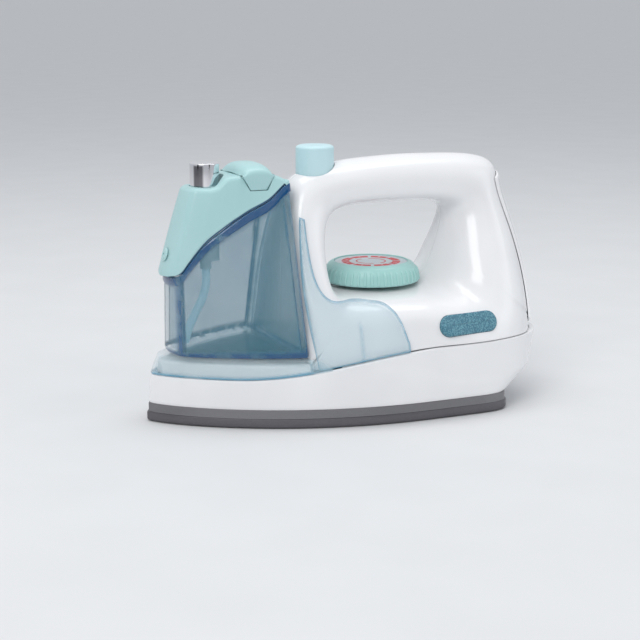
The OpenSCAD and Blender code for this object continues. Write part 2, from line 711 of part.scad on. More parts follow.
module temperature_dial() color("paleturquoise") translate([dial_x, 0, deck_z + dial_lift]) {
    r = dial_d / 2;
    intersection() {
        linear_extrude(height = dial_h) polygon([for (i = [0 : dial_ribs * rib_points - 1])
            let (a = 360 * i / (dial_ribs * rib_points), d = r - rib_deep / 2 + rib_deep / 2 * cos(a * dial_ribs))
            [d * cos(a), d * sin(a)]]);
        difference() {
            rotate_extrude() polygon([
                [0, 0], [r + over, 0], [r + over - dial_taper, dial_h - dial_round],
                [r - dial_taper - dial_round / 2, dial_h - dial_round / 3],
                [label_d / 2 + dial_wall, dial_h], [0, dial_h]]);
            translate([0, 0, -over]) cylinder(h = dial_h + 2 * over, d = spindle_pin_d + 2 * spindle_play);
            translate([0, 0, web_h]) cylinder(h = dial_h, d = label_d - 2 * dial_wall);
            translate([0, 0, dial_h - 2 * label_t]) cylinder(h = dial_h, d = label_d + 2 * fit_gap);
        }
    }
}

module dial_label() color("whitesmoke") translate([dial_x, 0, deck_z + dial_lift + dial_h - 2 * label_t])
    cylinder(h = label_t, d = label_d);

// Water tank and its head: levels that narrow upwards, parted along an S-shaped rim.
tank_places_shares = [0, 0.04, 0.08, 0.13, 0.19, 0.26, 0.35, 0.46, 0.60, 0.73, 0.80, 0.86, 0.93, 1];
tank_top_shares = [[0, 0.52], [0.05, 0.60], [0.20, 0.74], [0.46, 0.87], [0.73, 0.95], [1, 1]];
front_bulge = 1.2;
back_dish = 0.3;
front_corner_share = 0.82;
head_front_low = 3;
head_front_top = 8.6;
head_proud = 0.4;
block_up = 4.5;
block_round = 2.2;
rim_out = 0.6;
rim_slope = 0.6;
rim_shares = [
    [-0.60, 0.465], [-0.05, 0.466], [0.03, 0.490], [0.10, 0.558], [0.225, 0.666], [0.384, 0.751],
    [0.60, 0.844], [0.826, 0.922], [0.965, 1.0], [1.2, 1.06]
];
rim_steps = 3;

function curve(points, steps) =
    let (n = len(points))
    concat([for (i = [0 : n - 2]) for (k = [0 : steps - 1])
        spline(points[max(0, i - 1)], points[i], points[i + 1], points[min(n - 1, i + 2)], k / steps)],
        [points[n - 1]]);
rim_curve = curve(rim_shares, rim_steps);
function rim_z(share) = mix(tank_z0, tank_top, lookup(share, rim_curve));
function rim_line(lift) = [for (p = rim_curve)
    [mix(tank_front_x, tank_back_x, p[0]), mix(tank_z0, tank_top, p[1]) + lift]];

// One loop of the tank or head, with its height given by a function of x. The front face is moved by lean and
// the walls are moved in by inset.
function tank_loop(height, inset, lean) =
    let (xf = tank_front_x + lean + inset, xb = tank_back_x - inset,
         x = [for (share = tank_places_shares) mix(xf, xb, share)],
         w = [for (i = [0 : len(x) - 1])
            let (share = tank_places_shares[i], place = mix(tank_front_x, tank_back_x, share),
                 f = (height(x[i]) - tank_z0) / (tank_top - tank_z0))
            mix(tank_back_w / 2 * part_w(place) / part_w(tank_back_x), tank_top_w / 2 * lookup(share, tank_top_shares), f) - inset])
    concat([[xf - front_bulge, 0, height(xf - front_bulge)], [xf, front_corner_share * w[0], height(xf)]],
           [for (i = [1 : len(w) - 1]) [x[i], w[i], height(x[i])]],
           [[xb - back_dish, 0, height(xb - back_dish)]]);
function tank_level(z, inset, lean) = tank_loop(function (x) z, inset, lean);
function rim_loop(lift, inset) =
    tank_loop(function (x) let (in = x - tank_front_x)
        rim_z(min(in / tank_len, (in - inset) / (tank_len - 2 * inset))) + lift, inset, 0);

function head_lean(z) =
    let (z1 = mix(tank_z0, tank_top, rim_shares[0][1])) mix(-head_front_low, head_front_top, (z - z1) / (tank_top - z1));

// A band of tank wall between two lifts of the rim line, from one inset to another.
module rim_band(outer, inner, z0, low, high) difference() {
    loop_loft([tank_level(z0, outer, 0), tank_level(tank_top + rim_h, outer, 0)]);
    loop_loft([tank_level(z0 - over, inner, 0), tank_level(tank_top + rim_h + over, inner, 0)]);
    side_slab(rim_line(low), -over);
    side_slab(rim_line(high), tank_top + tank_len);
}

// Loops run up the outside, over the rim and down the inside to the floor.
module water_tank() color("steelblue", 0.6) loop_loft([
    tank_level(tank_z0, 0, 0), rim_loop(-rim_h, 0), rim_loop(rim_slope - rim_h, -rim_out), rim_loop(0, -rim_out),
    rim_loop(0, tank_wall), tank_level(tank_z0 + tank_wall, tank_wall, 0)]);

module tank_gasket() color("white") rim_band(0, tank_wall, tank_z0 + rim_h, 3 * fit_gap, gasket_t);

spray_x_share = 0.334;
spray_x = mix(tank_front_x, tank_back_x, spray_x_share);
cap_x_share = 0.728;
cap_x = mix(tank_front_x, tank_back_x, cap_x_share);
cap_len = 15;
ramp_shares = [0.37, 0.48];
block_back_share = 0.93;
block_back_drop = 3.5;
neck_wall = 1.6;
neck_down = 5;
pump_collar_h = 7.5;
pump_collar_wall = 1.6;
block_z = tank_top + block_up;

function head_levels(inset, z0) =
    [for (z = [z0, tank_top - block_round]) tank_level(z, inset - head_proud, head_lean(z))];

nozzle_share = 0.60;
nozzle_z = mix(tank_z0, tank_top, nozzle_share);
nozzle_x = tank_front_x + head_lean(nozzle_z) - front_bulge - head_proud;
nozzle_tilt = atan((head_front_low + head_front_top) / ((1 - rim_shares[0][1]) * (tank_top - tank_z0)));
nozzle_d = 6;
nozzle_neck_d = 4;
nozzle_len = 0.6;
nozzle_hole_d = 1.2;
nozzle_in = 6;

module at_nozzle() translate([nozzle_x, 0, nozzle_z]) rotate([0, nozzle_tilt - 90, 0]) children();

// Saddle cap: its half width, the back of its tabs, and the side view that its tabs share with the head's recess.
cap_gap = 0.3;
tab_t = 1.8;
tab_down = 1.5;
tab_top_w = 14;
tab_low_w = 7.4;
cap_half_w = tank_top_w / 2 - cap_gap;
tab_back = cap_half_w - tab_t;

module tab_side(grow, top) translate([cap_x, 0]) polygon([
    [-tab_top_w / 2 - grow, top], [-tab_top_w / 2 - grow, block_z - cap_gap], [-tab_low_w / 2 - grow, tank_top - tab_down - grow],
    [tab_low_w / 2 + grow, tank_top - tab_down - grow], [tab_top_w / 2 + grow, block_z - cap_gap], [tab_top_w / 2 + grow, top]]);

module tank_head() color("powderblue") difference() {
    union() {
        difference() {
            loop_loft(concat(head_levels(0, tank_z0 + rim_h),
                [tank_level(block_z - block_round, -head_proud, head_lean(tank_top)),
                 tank_level(block_z, block_round - head_proud, head_lean(tank_top))]));
            loop_loft(concat([tank_level(tank_z0, tank_wall - head_proud, head_lean(tank_z0 + rim_h))],
                head_levels(tank_wall, tank_z0 + rim_h)));
            side_slab(rim_line(gasket_t), -over);
            side_slab([[tank_front_x - tank_len, tank_top],
                [mix(tank_front_x, tank_back_x, ramp_shares[0]), tank_top],
                [mix(tank_front_x, tank_back_x, ramp_shares[1]), block_z + over],
                [mix(tank_front_x, tank_back_x, block_back_share), block_z + over],
                [tank_back_x + over, block_z - block_back_drop]], block_z + tank_len);
        }
        translate([cap_x, 0, tank_top - neck_down]) cylinder(h = block_up + neck_down - over, d = neck_d + 2 * neck_wall);
        translate([spray_x, 0, tank_top - tank_wall - pump_collar_h])
            cylinder(h = pump_collar_h + over, d = spray_d + 2 * (run_gap + pump_collar_wall));
    }
    translate([cap_x, 0, tank_top - neck_down - over]) cylinder(h = block_up + neck_down + 2 * over, d = neck_d);
    translate([spray_x, 0, tank_top - tank_wall - pump_collar_h - over])
        cylinder(h = pump_collar_h + tank_wall + block_up + 2 * over, d = spray_d + 2 * run_gap);
    at_nozzle() translate([0, 0, -nozzle_in]) cylinder(h = nozzle_in + nozzle_d, d = nozzle_neck_d + 2 * fit_gap);
    for (side = [0, 1]) mirror([0, side, 0]) translate([0, -tab_back + cap_gap, 0]) rotate([90, 0, 0])
        linear_extrude(height = iron_w) tab_side(cap_gap, block_z + over);
}

module spray_nozzle() color("powderblue") at_nozzle() difference() {
    union() {
        translate([0, 0, fit_gap]) cylinder(h = nozzle_len, d1 = nozzle_d, d2 = nozzle_neck_d);
        translate([0, 0, fit_gap - nozzle_in]) cylinder(h = nozzle_in + nozzle_len, d = nozzle_neck_d);
    }
    translate([0, 0, -nozzle_in]) cylinder(h = nozzle_in + nozzle_len + over, d = nozzle_hole_d);
}

// Pump under the spray button: a cylinder hung from the head, a piston, a spring and a dip tube.
pump_top = tank_top - tank_wall - pump_collar_h;
pump_len = 23;
pump_d = 9;
pump_wall = 1.5;
pump_flange_h = 2;
pump_floor = 1.8;
piston_play = 0.06;
piston_h = 8;
piston_up = 1.5;
stem_d = 4;
nipple_d = 5;
nipple_len = 4;
inlet_d = 2.5;
pump_z0 = pump_top - pump_len;
spray_in = pump_collar_h - spray_travel - run_gap;
spray_z0 = tank_top - tank_wall - spray_in;
spray_round = 0.8;
piston_z1 = pump_top - piston_up - spray_travel;

module pump_cylinder() color("white") translate([spray_x, 0, pump_z0]) difference() {
    union() {
        cylinder(h = pump_len, d = pump_d + 2 * pump_wall);
        translate([0, 0, pump_len - pump_flange_h]) cylinder(h = pump_flange_h, d = spray_d + 2 * (run_gap + pump_collar_wall));
        translate([0, 0, -nipple_len]) cylinder(h = nipple_len + over, d = nipple_d);
    }
    translate([0, 0, pump_floor]) cylinder(h = pump_len, d = pump_d);
    translate([0, 0, -nipple_len - over]) cylinder(h = pump_len, d = inlet_d);
}

module spray_button() color("silver") translate([spray_x, 0, 0]) rotate_extrude() polygon([
    [0, spray_z0], [spray_d / 2, spray_z0], [spray_d / 2, tank_top + spray_up - spray_round],
    [spray_d / 2 - spray_round, tank_top + spray_up], [0, tank_top + spray_up]]);

module pump_piston() color("whitesmoke") translate([spray_x, 0, 0]) {
    translate([0, 0, piston_z1 - piston_h]) cylinder(h = piston_h, d = pump_d - 2 * piston_play);
    translate([0, 0, piston_z1 - over]) cylinder(h = spray_z0 - piston_z1 + over, d = stem_d);
}

module pump_spring() color("silver") translate([spray_x, 0, pump_z0 + pump_floor]) difference() {
    cylinder(h = piston_z1 - piston_h - pump_z0 - pump_floor, d = pump_d - 2 * run_gap);
    translate([0, 0, -over]) cylinder(h = pump_len, d = pump_d - 2 * run_gap - 2 * spring_wire);
}

// Bent clear tube from the pump down to the tank's front corner.
dip_d = 3.6;
dip_sides = 8;
dip_steps = 3;
dip_end_gap = 2;
dip_drop_share = 0.4;
dip_bend_share = 0.5;
dip_z1 = pump_z0 - nipple_len;
dip_z0 = tank_z0 + tank_wall + dip_end_gap;
dip_x0 = tank_front_x + tank_wall + front_bulge + dip_d;
dip_route = curve([
    [spray_x, 0, dip_z1], [spray_x, 0, mix(dip_z1, dip_z0, dip_drop_share / 2)],
    [mix(spray_x, dip_x0, dip_bend_share), 0, mix(dip_z1, dip_z0, dip_drop_share + dip_drop_share / 2)],
    [dip_x0, 0, dip_z0]], dip_steps);

module dip_tube() color("lightblue", 0.7) {
    n = len(dip_route);
    rib_loft([for (i = [0 : n - 1])
        let (a = dip_route[max(0, i - 1)], b = dip_route[min(n - 1, i + 1)],
             along = i == 0 ? [0, 0, -1] : (b - a) / norm(b - a), up = [0, 1, 0], out = cross(up, along))
        [for (k = [0 : dip_sides - 1]) let (t = -360 * k / dip_sides)
            dip_route[i] + dip_d / 2 * (cos(t) * up + sin(t) * out)]]);
}

// Filler cap: a domed saddle on the head's block, with a tab down each side and a plug in the neck.
cap_steps = 10;
cap_lip = 1.5;
cap_edge = 1;
cap_dome_power = 0.6;
cap_plan_power = 0.4;
plug_down = 4.5;
seal_t = 0.5;
seal_h = 1.6;
seal_play = 0.08;
cap_z0 = block_z + cap_gap;

function dome(w, low, high) = [for (i = [0 : cap_steps]) let (a = 180 * i / cap_steps)
    [w * cos(a), low + (high - low) * pow(sin(a), cap_dome_power)]];
function cap_plan(k) = let (a = 360 * k / (4 * cap_steps))
    [cap_len / 2 * sign(cos(a)) * pow(abs(cos(a)), cap_plan_power), cap_half_w * sign(sin(a)) * pow(abs(sin(a)), cap_plan_power)];

module cap_lid() intersection() {
    rotate([90, 0, 0]) linear_extrude(height = iron_w, center = true) translate([cap_x, 0])
        polygon(concat(dome(cap_len / 2 + over, cap_z0 + cap_lip, tank_top + cap_up), [[-cap_len, cap_z0], [cap_len, cap_z0]]));
    translate([cap_x, 0, 0]) rotate([90, 0, 90]) linear_extrude(height = 2 * cap_len, center = true)
        polygon(concat(dome(cap_half_w + over, cap_z0 + cap_edge, tank_top + cap_up), [[-iron_w, cap_z0], [iron_w, cap_z0]]));
    translate([cap_x, 0, cap_z0]) linear_extrude(height = cap_up) polygon([for (k = [0 : 4 * cap_steps - 1]) cap_plan(k)]);
}

module filler_cap() color("powderblue") union() {
    cap_lid();
    for (side = [0, 1]) mirror([0, side, 0]) translate([0, -tab_back, 0]) rotate([90, 0, 0])
        linear_extrude(height = tab_t - cap_gap / 2) tab_side(0, cap_z0 + cap_edge / 2);
    translate([cap_x, 0, block_z - plug_down])
        cylinder(h = plug_down + cap_gap + cap_lip, d = neck_d - 2 * (seal_t + seal_play));
}

module cap_seal() color("white") translate([cap_x, 0, block_z - plug_down + seal_h / 2]) difference() {
    cylinder(h = seal_h, d = neck_d - 2 * seal_play);
    translate([0, 0, -over]) cylinder(h = seal_h + 2 * over, d = neck_d - 2 * (seal_t + seal_play));
}

soleplate();
base_skirt();
cradle_base();
front_cover();
body_left();
body_right();
heel_cover();
lens_left();
lens_right();
leds();
circuit_board();
speaker();
battery_box();
battery_cells();
battery_contacts();
battery_springs();
battery_door();
door_screw();
button_guide();
push_switch();
button_spring();
dial_spindle();
body_screws();
sole_screws();
steam_button();
temperature_dial();
dial_label();
dial_screw();
water_tank();
tank_head();
tank_gasket();
spray_nozzle();
pump_cylinder();
pump_spring();
dip_tube();
spray_button();
pump_piston();
filler_cap();
cap_seal();
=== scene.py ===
# %% [markdown]
# # A toy iron, dressed in cells
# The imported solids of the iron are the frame. Each cell below takes one piece of the real toy, says how it
# could be made in Blender and makes it in the same place. Lengths in the formulas are millimetres, as a toy
# maker would write them, and each mesh is scaled to metres when it is made.

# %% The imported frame
import json
import math

import bmesh
import bpy
import numpy as np
from mathutils import Matrix, Vector

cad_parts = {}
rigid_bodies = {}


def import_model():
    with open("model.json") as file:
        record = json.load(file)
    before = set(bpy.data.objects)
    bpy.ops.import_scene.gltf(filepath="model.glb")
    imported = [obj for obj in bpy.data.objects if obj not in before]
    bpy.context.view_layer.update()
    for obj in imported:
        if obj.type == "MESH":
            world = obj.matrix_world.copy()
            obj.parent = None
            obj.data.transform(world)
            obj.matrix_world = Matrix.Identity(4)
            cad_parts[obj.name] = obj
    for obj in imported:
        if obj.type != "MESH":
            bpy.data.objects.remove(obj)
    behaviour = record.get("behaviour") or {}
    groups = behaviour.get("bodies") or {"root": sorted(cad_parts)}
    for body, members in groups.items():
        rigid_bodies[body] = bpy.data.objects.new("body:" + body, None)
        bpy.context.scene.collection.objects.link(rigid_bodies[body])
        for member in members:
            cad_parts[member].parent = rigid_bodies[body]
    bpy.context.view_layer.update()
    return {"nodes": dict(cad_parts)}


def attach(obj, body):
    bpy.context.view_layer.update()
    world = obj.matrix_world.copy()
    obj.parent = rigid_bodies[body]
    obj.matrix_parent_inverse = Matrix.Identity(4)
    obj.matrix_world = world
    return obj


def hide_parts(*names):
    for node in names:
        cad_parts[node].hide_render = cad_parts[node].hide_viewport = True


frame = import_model()
MM = 0.001

# %% [markdown]
# ## Camera
# The picture shows the left side, a little from the front and from above. A first camera was worked out
# from the photograph. This one has no lens shift. Its place and its lens were fitted so that points of the
# model land where the first one puts them.

# %% Camera
CAMERA_AT, LOOK_DOWN, LOOK_RIGHT, LENS = (-291.7, -628.4, 184.1), 12.015, 24.19, 87.5
camera = bpy.data.objects.new("camera", bpy.data.cameras.new("camera"))
bpy.context.scene.collection.objects.link(camera)
camera.location = Vector(CAMERA_AT) * MM
camera.rotation_euler = (math.radians(90 - LOOK_DOWN), 0, math.radians(-LOOK_RIGHT))
camera.data.sensor_width, camera.data.lens = 36, LENS
camera.data.clip_start, camera.data.clip_end = 0.01, 50
bpy.context.scene.camera = camera
print("camera at", [round(v, 3) for v in camera.location])

# %% [markdown]
# ## Writing node trees as sums
# A node tree grows fast when every node is placed by hand. One small class holds a socket, so that
# `1 - mask` or `height * 0.2 + 0.1` adds the Math nodes by itself. Its `node` method adds any other node,
# for materials and for Geometry Nodes alike.

# %% The class for sums on sockets
class Wire:
    """A socket of a node tree that can be used in sums."""

    def __init__(self, tree, socket=None):
        self.tree, self.socket = tree, socket

    def node(self, kind, settings=None, inputs=None, out=0):
        made = self.tree.nodes.new(kind)
        for name, value in (settings or {}).items():
            setattr(made, name, value)
        for key, value in (inputs or {}).items():
            if isinstance(value, Wire):
                self.tree.links.new(value.socket, made.inputs[key])
            else:
                made.inputs[key].default_value = value
        return Wire(self.tree, made.outputs[out]) if made.outputs else made

    def math(self, operation, *values):
        return self.node("ShaderNodeMath", {"operation": operation}, dict(enumerate(values)))

    def __add__(self, other):
        return self.math("ADD", self, other)

    def __radd__(self, other):
        return self.math("ADD", other, self)

    def __sub__(self, other):
        return self.math("SUBTRACT", self, other)

    def __rsub__(self, other):
        return self.math("SUBTRACT", other, self)

    def __mul__(self, other):
        return self.math("MULTIPLY", self, other)

    def __rmul__(self, other):
        return self.math("MULTIPLY", other, self)

    def __truediv__(self, other):
        return self.math("DIVIDE", self, other)

    def step(self, low, high):
        """0 below low, 1 above high and a smooth rise between them."""
        return self.node("ShaderNodeMapRange", {"interpolation_type": "SMOOTHSTEP"},
                         {"Value": self, "From Min": low, "From Max": high})

    def blend(self, dark, light):
        """A colour that goes from dark to light as this value goes from 0 to 1."""
        inputs = {0: self, 6: (*dark, 1), 7: (*light, 1)}
        return self.node("ShaderNodeMix", {"data_type": "RGBA"}, inputs, out=2)


# %% [markdown]
# ## Finishes
# Moulded plastic is never one flat colour: the surface has a faint ripple from the mould, and its gloss and
# colour change a little from place to place. The plastics of this cell come from one function, which adds
# that ripple as a bump and those changes as roughness and colour, on Object coordinates.

# %% Moulded plastic
def new_finish(name):
    """A new finish, its shader, a start for sums and the Object coordinates."""
    finish = bpy.data.materials.new(name)
    finish.use_nodes = True
    wire = Wire(finish.node_tree)
    place = wire.node("ShaderNodeTexCoord", out="Object")
    return finish, finish.node_tree.nodes["Principled BSDF"], wire, place


def feed(shader, **values):
    """Sets the shader's inputs or links them to sums. Base_Color stands for the input Base Color."""
    for name, value in values.items():
        socket = shader.inputs[name.replace("_", " ")]
        if isinstance(value, Wire):
            value.tree.links.new(value.socket, socket)
        else:
            socket.default_value = value


def noise(wire, place, per_metre, detail=2.0):
    inputs = {"Vector": place, "Scale": per_metre, "Detail": detail}
    return wire.node("ShaderNodeTexNoise", None, inputs, out="Fac")


def bump(wire, height, strength, distance):
    return wire.node("ShaderNodeBump", None, {"Height": height, "Strength": strength, "Distance": distance})


def moulded(name, deep, light, roughness, spread=0.08, ripple=0.06, grain=900.0, coat=0.0, metallic=0.0):
    """Plastic with a faint mould ripple, a change of gloss and a slight change of colour."""
    finish, shader, wire, place = new_finish(name)
    broad, fine = noise(wire, place, 22.0), noise(wire, place, grain, 4.0)
    feed(shader, Base_Color=broad.step(0.3, 0.7).blend(deep, light),
         Roughness=fine * spread + (roughness - spread / 2),
         Normal=bump(wire, broad * 0.5 + fine * 0.5, ripple, 0.0004),
         Metallic=metallic, Coat_Weight=coat, Coat_Roughness=0.06)
    return finish


white_gloss = moulded("white_gloss", (0.80, 0.80, 0.815), (0.855, 0.855, 0.865), 0.24, coat=0.35)
white_inner = moulded("white_inner", (0.70, 0.71, 0.72), (0.76, 0.77, 0.78), 0.45)
mint = moulded("mint", (0.385, 0.615, 0.625), (0.43, 0.655, 0.665), 0.36, ripple=0.08)
mint_dial = moulded("mint_dial", (0.365, 0.635, 0.605), (0.41, 0.675, 0.645), 0.34, ripple=0.08)
pale_mint = moulded("pale_mint", (0.52, 0.735, 0.785), (0.57, 0.775, 0.82), 0.38)
black_plastic = moulded("black_plastic", (0.018, 0.018, 0.020), (0.030, 0.030, 0.032), 0.5)
soft_seal = moulded("soft_seal", (0.66, 0.73, 0.75), (0.72, 0.78, 0.80), 0.55, grain=1500.0)
print("plastics:", len(bpy.data.materials))

# %% [markdown]
# ## Clear plastics
# The tank and the cradle are clear plastic. Real refraction needs many light paths and goes dark inside a
# closed tank, so the walls are thin see-through sheets: colour, alpha and a sharp gloss. Clear plastic
# looks deepest where it is seen edge on, at rims and corners. Each mesh carries that as a `depth` value on
# its points, and the finish reads it. A value below zero makes a wall thinner still, like a window. Faint
# streaks break up the deep places.

# %% Clear plastics
def clear(name, thin, deep, thin_alpha, deep_alpha):
    """Clear plastic whose colour and alpha follow the depth value."""
    finish, shader, wire, place = new_finish(name)
    depth = wire.node("ShaderNodeAttribute", {"attribute_name": "depth"}, out="Fac")
    cloud = noise(wire, place, 40.0) * 0.12 - 0.06
    streak = noise(wire, place, 160.0).step(0.45, 0.75) * 0.4
    mask = (depth + cloud).step(0.0, 1.0) * (1 - streak)
    window = depth.math("MINIMUM", depth, 0.0) * (0.85 * thin_alpha)
    feed(shader, Base_Color=mask.blend(thin, deep),
         Alpha=mask * (deep_alpha - thin_alpha) + thin_alpha + window,
         Roughness=noise(wire, place, 300.0) * 0.05 + 0.05,
         Normal=bump(wire, noise(wire, place, 60.0), 0.05, 0.001),
         Specular_IOR_Level=0.6, Coat_Weight=0.5, Coat_Roughness=0.03)
    return finish


clear_blue = clear("clear_blue", (0.125, 0.345, 0.445), (0.0, 0.064, 0.190), 0.20, 0.92)
clear_ice = clear("clear_ice", (0.60, 0.79, 0.86), (0.12, 0.36, 0.52), 0.19, 0.66)
clear_tube = clear("clear_tube", (0.74, 0.88, 0.93), (0.60, 0.80, 0.88), 0.75, 0.9)
# The tube's finish glows faintly: painted light, to brighten the tube where the tank's walls keep light from
# it.
feed(clear_tube.node_tree.nodes["Principled BSDF"],
     Emission_Color=(0.55, 0.75, 0.85, 1), Emission_Strength=0.16)
blue_seal = moulded("blue_seal", (0.030, 0.095, 0.20), (0.045, 0.12, 0.24), 0.45)

# %% [markdown]
# ## Metals, lens and print
# The sole is plastic with a metallic paint: tiny flakes change its gloss, and its lower band is darker than
# the upper one. The side lenses are teal with a moulded sparkle of small facets. The chrome button is plated,
# almost a mirror with hair lines, and dark bands round its side are a painted reflection. The screws are
# plated steel.

# %% Metals, lens and print
SOLE_STEP = (4.1 * MM, 4.3 * MM)
SPRAY_X, SPRAY_TOP = -63.9, (110.0 * MM, 110.8 * MM)
STEEL = (0.60, 0.60, 0.63)


def facets(wire, place, per_metre):
    """Small cells: a chance value for each, and the distance from its middle."""
    inputs = {"Vector": place, "Scale": per_metre}
    cells = wire.node("ShaderNodeTexVoronoi", {"feature": "F1"}, inputs, out="Color")
    apart = wire.node("ShaderNodeSeparateColor", None, {0: cells})
    return apart, Wire(wire.tree, cells.socket.node.outputs["Distance"])


gunmetal, shader, wire, place = new_finish("gunmetal")
height = wire.node("ShaderNodeSeparateXYZ", None, {0: place}, out=2)
flake, _ = facets(wire, place, 2600.0)
upper = height.step(*SOLE_STEP)
feed(shader, Base_Color=(upper * 0.8 + flake * 0.2).blend((0.135, 0.130, 0.142), (0.235, 0.232, 0.242)),
     Roughness=flake * 0.16 + 0.30, Normal=bump(wire, flake, 0.12, 0.0002), Metallic=0.75)

teal_lens, shader, wire, place = new_finish("teal_lens")
facet, cell = facets(wire, place, 2100.0)
feed(shader, Base_Color=facet.step(0.25, 1.0).blend((0.035, 0.165, 0.245), (0.12, 0.34, 0.42)),
     Roughness=facet * 0.2 + 0.15, Normal=bump(wire, cell, 0.55, 0.0006), Coat_Weight=0.4)


def metal(name, tone, roughness, hair, per_metre, stretch):
    """Plated metal with fine lines that run round or along the piece. tone makes its colour."""
    finish, shader, wire, place = new_finish(name)
    drawn = wire.node("ShaderNodeMapping", None, {"Vector": place, "Scale": stretch})
    lines = noise(wire, drawn, per_metre, 3.0)
    feed(shader, Base_Color=tone(wire, place, lines), Roughness=lines * hair + roughness,
         Normal=bump(wire, lines, 0.03, 0.0002), Metallic=1.0)
    return finish


def painted_reflection_bands(wire, place, lines):
    """Painted reflection: dark bands round the spray button's side and none on its top."""
    apart = wire.node("ShaderNodeSeparateXYZ", None, {0: place}).socket.node
    along, across, height = (Wire(wire.tree, socket) for socket in apart.outputs)
    turn = wire.math("ARCTAN2", across, along - SPRAY_X * MM)
    # Painted reflection: light and dark bands by angle round the button's axis, standing in for a darker room
    # mirrored in the chrome.
    band = wire.math("SINE", turn * 2.0) * 0.7 + wire.math("SINE", turn * 5.0 + 0.8) * 0.5
    dark = band.step(0.15, 0.75) * (1 - height.step(*SPRAY_TOP))
    return dark.blend((0.84, 0.83, 0.86), (0.20, 0.195, 0.21))


def plain_steel(wire, place, lines):
    return lines.blend([c * 0.94 for c in STEEL], STEEL)


chrome = metal("chrome", painted_reflection_bands, 0.06, 0.05, 500.0, (1, 1, 0.08))
plated_steel = metal("plated_steel", plain_steel, 0.22, 0.12, 900.0, (1, 1, 1))
cell_wrap = moulded("cell_wrap", (0.06, 0.09, 0.26), (0.09, 0.12, 0.32), 0.28, metallic=0.3)
board_green = moulded("board_green", (0.010, 0.12, 0.045), (0.020, 0.18, 0.075), 0.42, grain=1800.0)
print_grey = moulded("print_grey", (0.54, 0.60, 0.63), (0.60, 0.66, 0.69), 0.40, ripple=0.03)
print_red = moulded("print_red", (0.56, 0.012, 0.022), (0.66, 0.020, 0.030), 0.42, ripple=0.03)
print_white = moulded("print_white", (0.74, 0.72, 0.72), (0.80, 0.78, 0.78), 0.45, ripple=0.03)
print("finishes:", len(bpy.data.materials))

# %% [markdown]
# ## From grids to closed shells
# Most pieces are smooth moulded shells. They could be sculpted or cut from subdivided boxes, but the solids
# of the frame follow formulas, so the same formulas on a fine grid give the same shape without facets. One
# function takes grids of points in millimetres, welds them to one closed mesh, turns its faces outwards and
# marks its sharp edges.

# %% Shells from grids
def link(name, mesh, finish=None):
    made = bpy.data.objects.new(name, mesh)
    bpy.context.scene.collection.objects.link(made)
    if finish is not None:
        made.data.materials.clear()
        made.data.materials.append(finish)
    return made


def smooth(mesh, angle):
    mesh.shade_smooth()
    mesh.set_sharp_from_angle(angle=math.radians(angle))


WELD, FINE_WELD = 0.002, 0.0005


def shell(name, grids, finish, angle=32, depth=None, weld=WELD):
    """One closed mesh from grids of points in mm. depth holds a grid of values for each grid of points."""
    points = np.concatenate([np.asarray(g, float).reshape(-1, 3) for g in grids]) * MM
    quads, start = [], 0
    for g in grids:
        rows, cols = np.asarray(g).shape[:2]
        at = start + np.arange(rows * cols).reshape(rows, cols)
        quads.append(np.stack([at[:-1, :-1], at[1:, :-1], at[1:, 1:], at[:-1, 1:]], -1).reshape(-1, 4))
        start += rows * cols
    mesh = bpy.data.meshes.new(name)
    mesh.from_pydata(points.tolist(), [], np.concatenate(quads).tolist())
    if depth is not None:
        values = np.concatenate([np.asarray(d, np.float32).ravel() for d in depth])
        mesh.attributes.new("depth", "FLOAT", "POINT").data.foreach_set("value", values)
    work = bmesh.new()
    work.from_mesh(mesh)
    bmesh.ops.remove_doubles(work, verts=work.verts, dist=weld * MM)
    bmesh.ops.dissolve_degenerate(work, edges=work.edges, dist=weld * MM / 4)
    bmesh.ops.recalc_face_normals(work, faces=work.faces)
    work.to_mesh(mesh)
    work.free()
    smooth(mesh, angle)
    return link(name, mesh, finish)


def between_edges(outer, inner, ends=False):
    """Narrow grids that join the first and last columns, or rows, of two grids."""
    return [np.stack([g[k] if ends else g[:, k] for g in (outer, inner)], 1) for k in (0, -1)]


def bar_ends(rows):
    """The two end faces of a bar that is given by four rows round it."""
    return [np.stack([rows[:2, k], rows[3:1:-1, k]]) for k in (0, -1)]


def evaluated(made):
    """The object's mesh with its modifiers worked in, and the modifiers removed."""
    bpy.context.view_layer.update()
    graph = bpy.context.evaluated_depsgraph_get()
    mesh = bpy.data.meshes.new_from_object(made.evaluated_get(graph), depsgraph=graph)
    made.modifiers.clear()
    old, made.data = made.data, mesh
    bpy.data.meshes.remove(old)
    return made


def cut(made, cutters, angle=32, careful=False):
    """Cuts a piece by each cutter in turn and removes the cutters.

    careful minds a piece that meets itself.
    """
    for cutter in cutters:
        tool = made.modifiers.new("cut", "BOOLEAN")
        tool.operation, tool.solver, tool.object = "DIFFERENCE", "EXACT", cutter
        tool.use_self = careful
    evaluated(made)
    for cutter in cutters:
        bpy.data.objects.remove(cutter)
    smooth(made.data, angle)
    return made


def mirrored(name, made):
    """A copy on the other side of the middle plane, with its faces turned the right way again."""
    mesh = made.data.copy()
    mesh.transform(Matrix.Diagonal((1, -1, 1, 1)))
    mesh.flip_normals()
    return link(name, mesh)


def lathe(name, profile, finish, centre=(0, 0), steps=96, angle=32):
    """A closed turned shape from a profile of [radius, height] points that starts and ends on the axis."""
    turn = np.linspace(0, 2 * math.pi, steps + 1)
    turn[-1] = 0
    r, z = np.asarray(profile, float).T
    grid = np.stack([centre[0] + r[:, None] * np.cos(turn), centre[1] + r[:, None] * np.sin(turn),
                     np.repeat(z[:, None], steps + 1, 1)], -1)
    return shell(name, [grid], finish, angle)


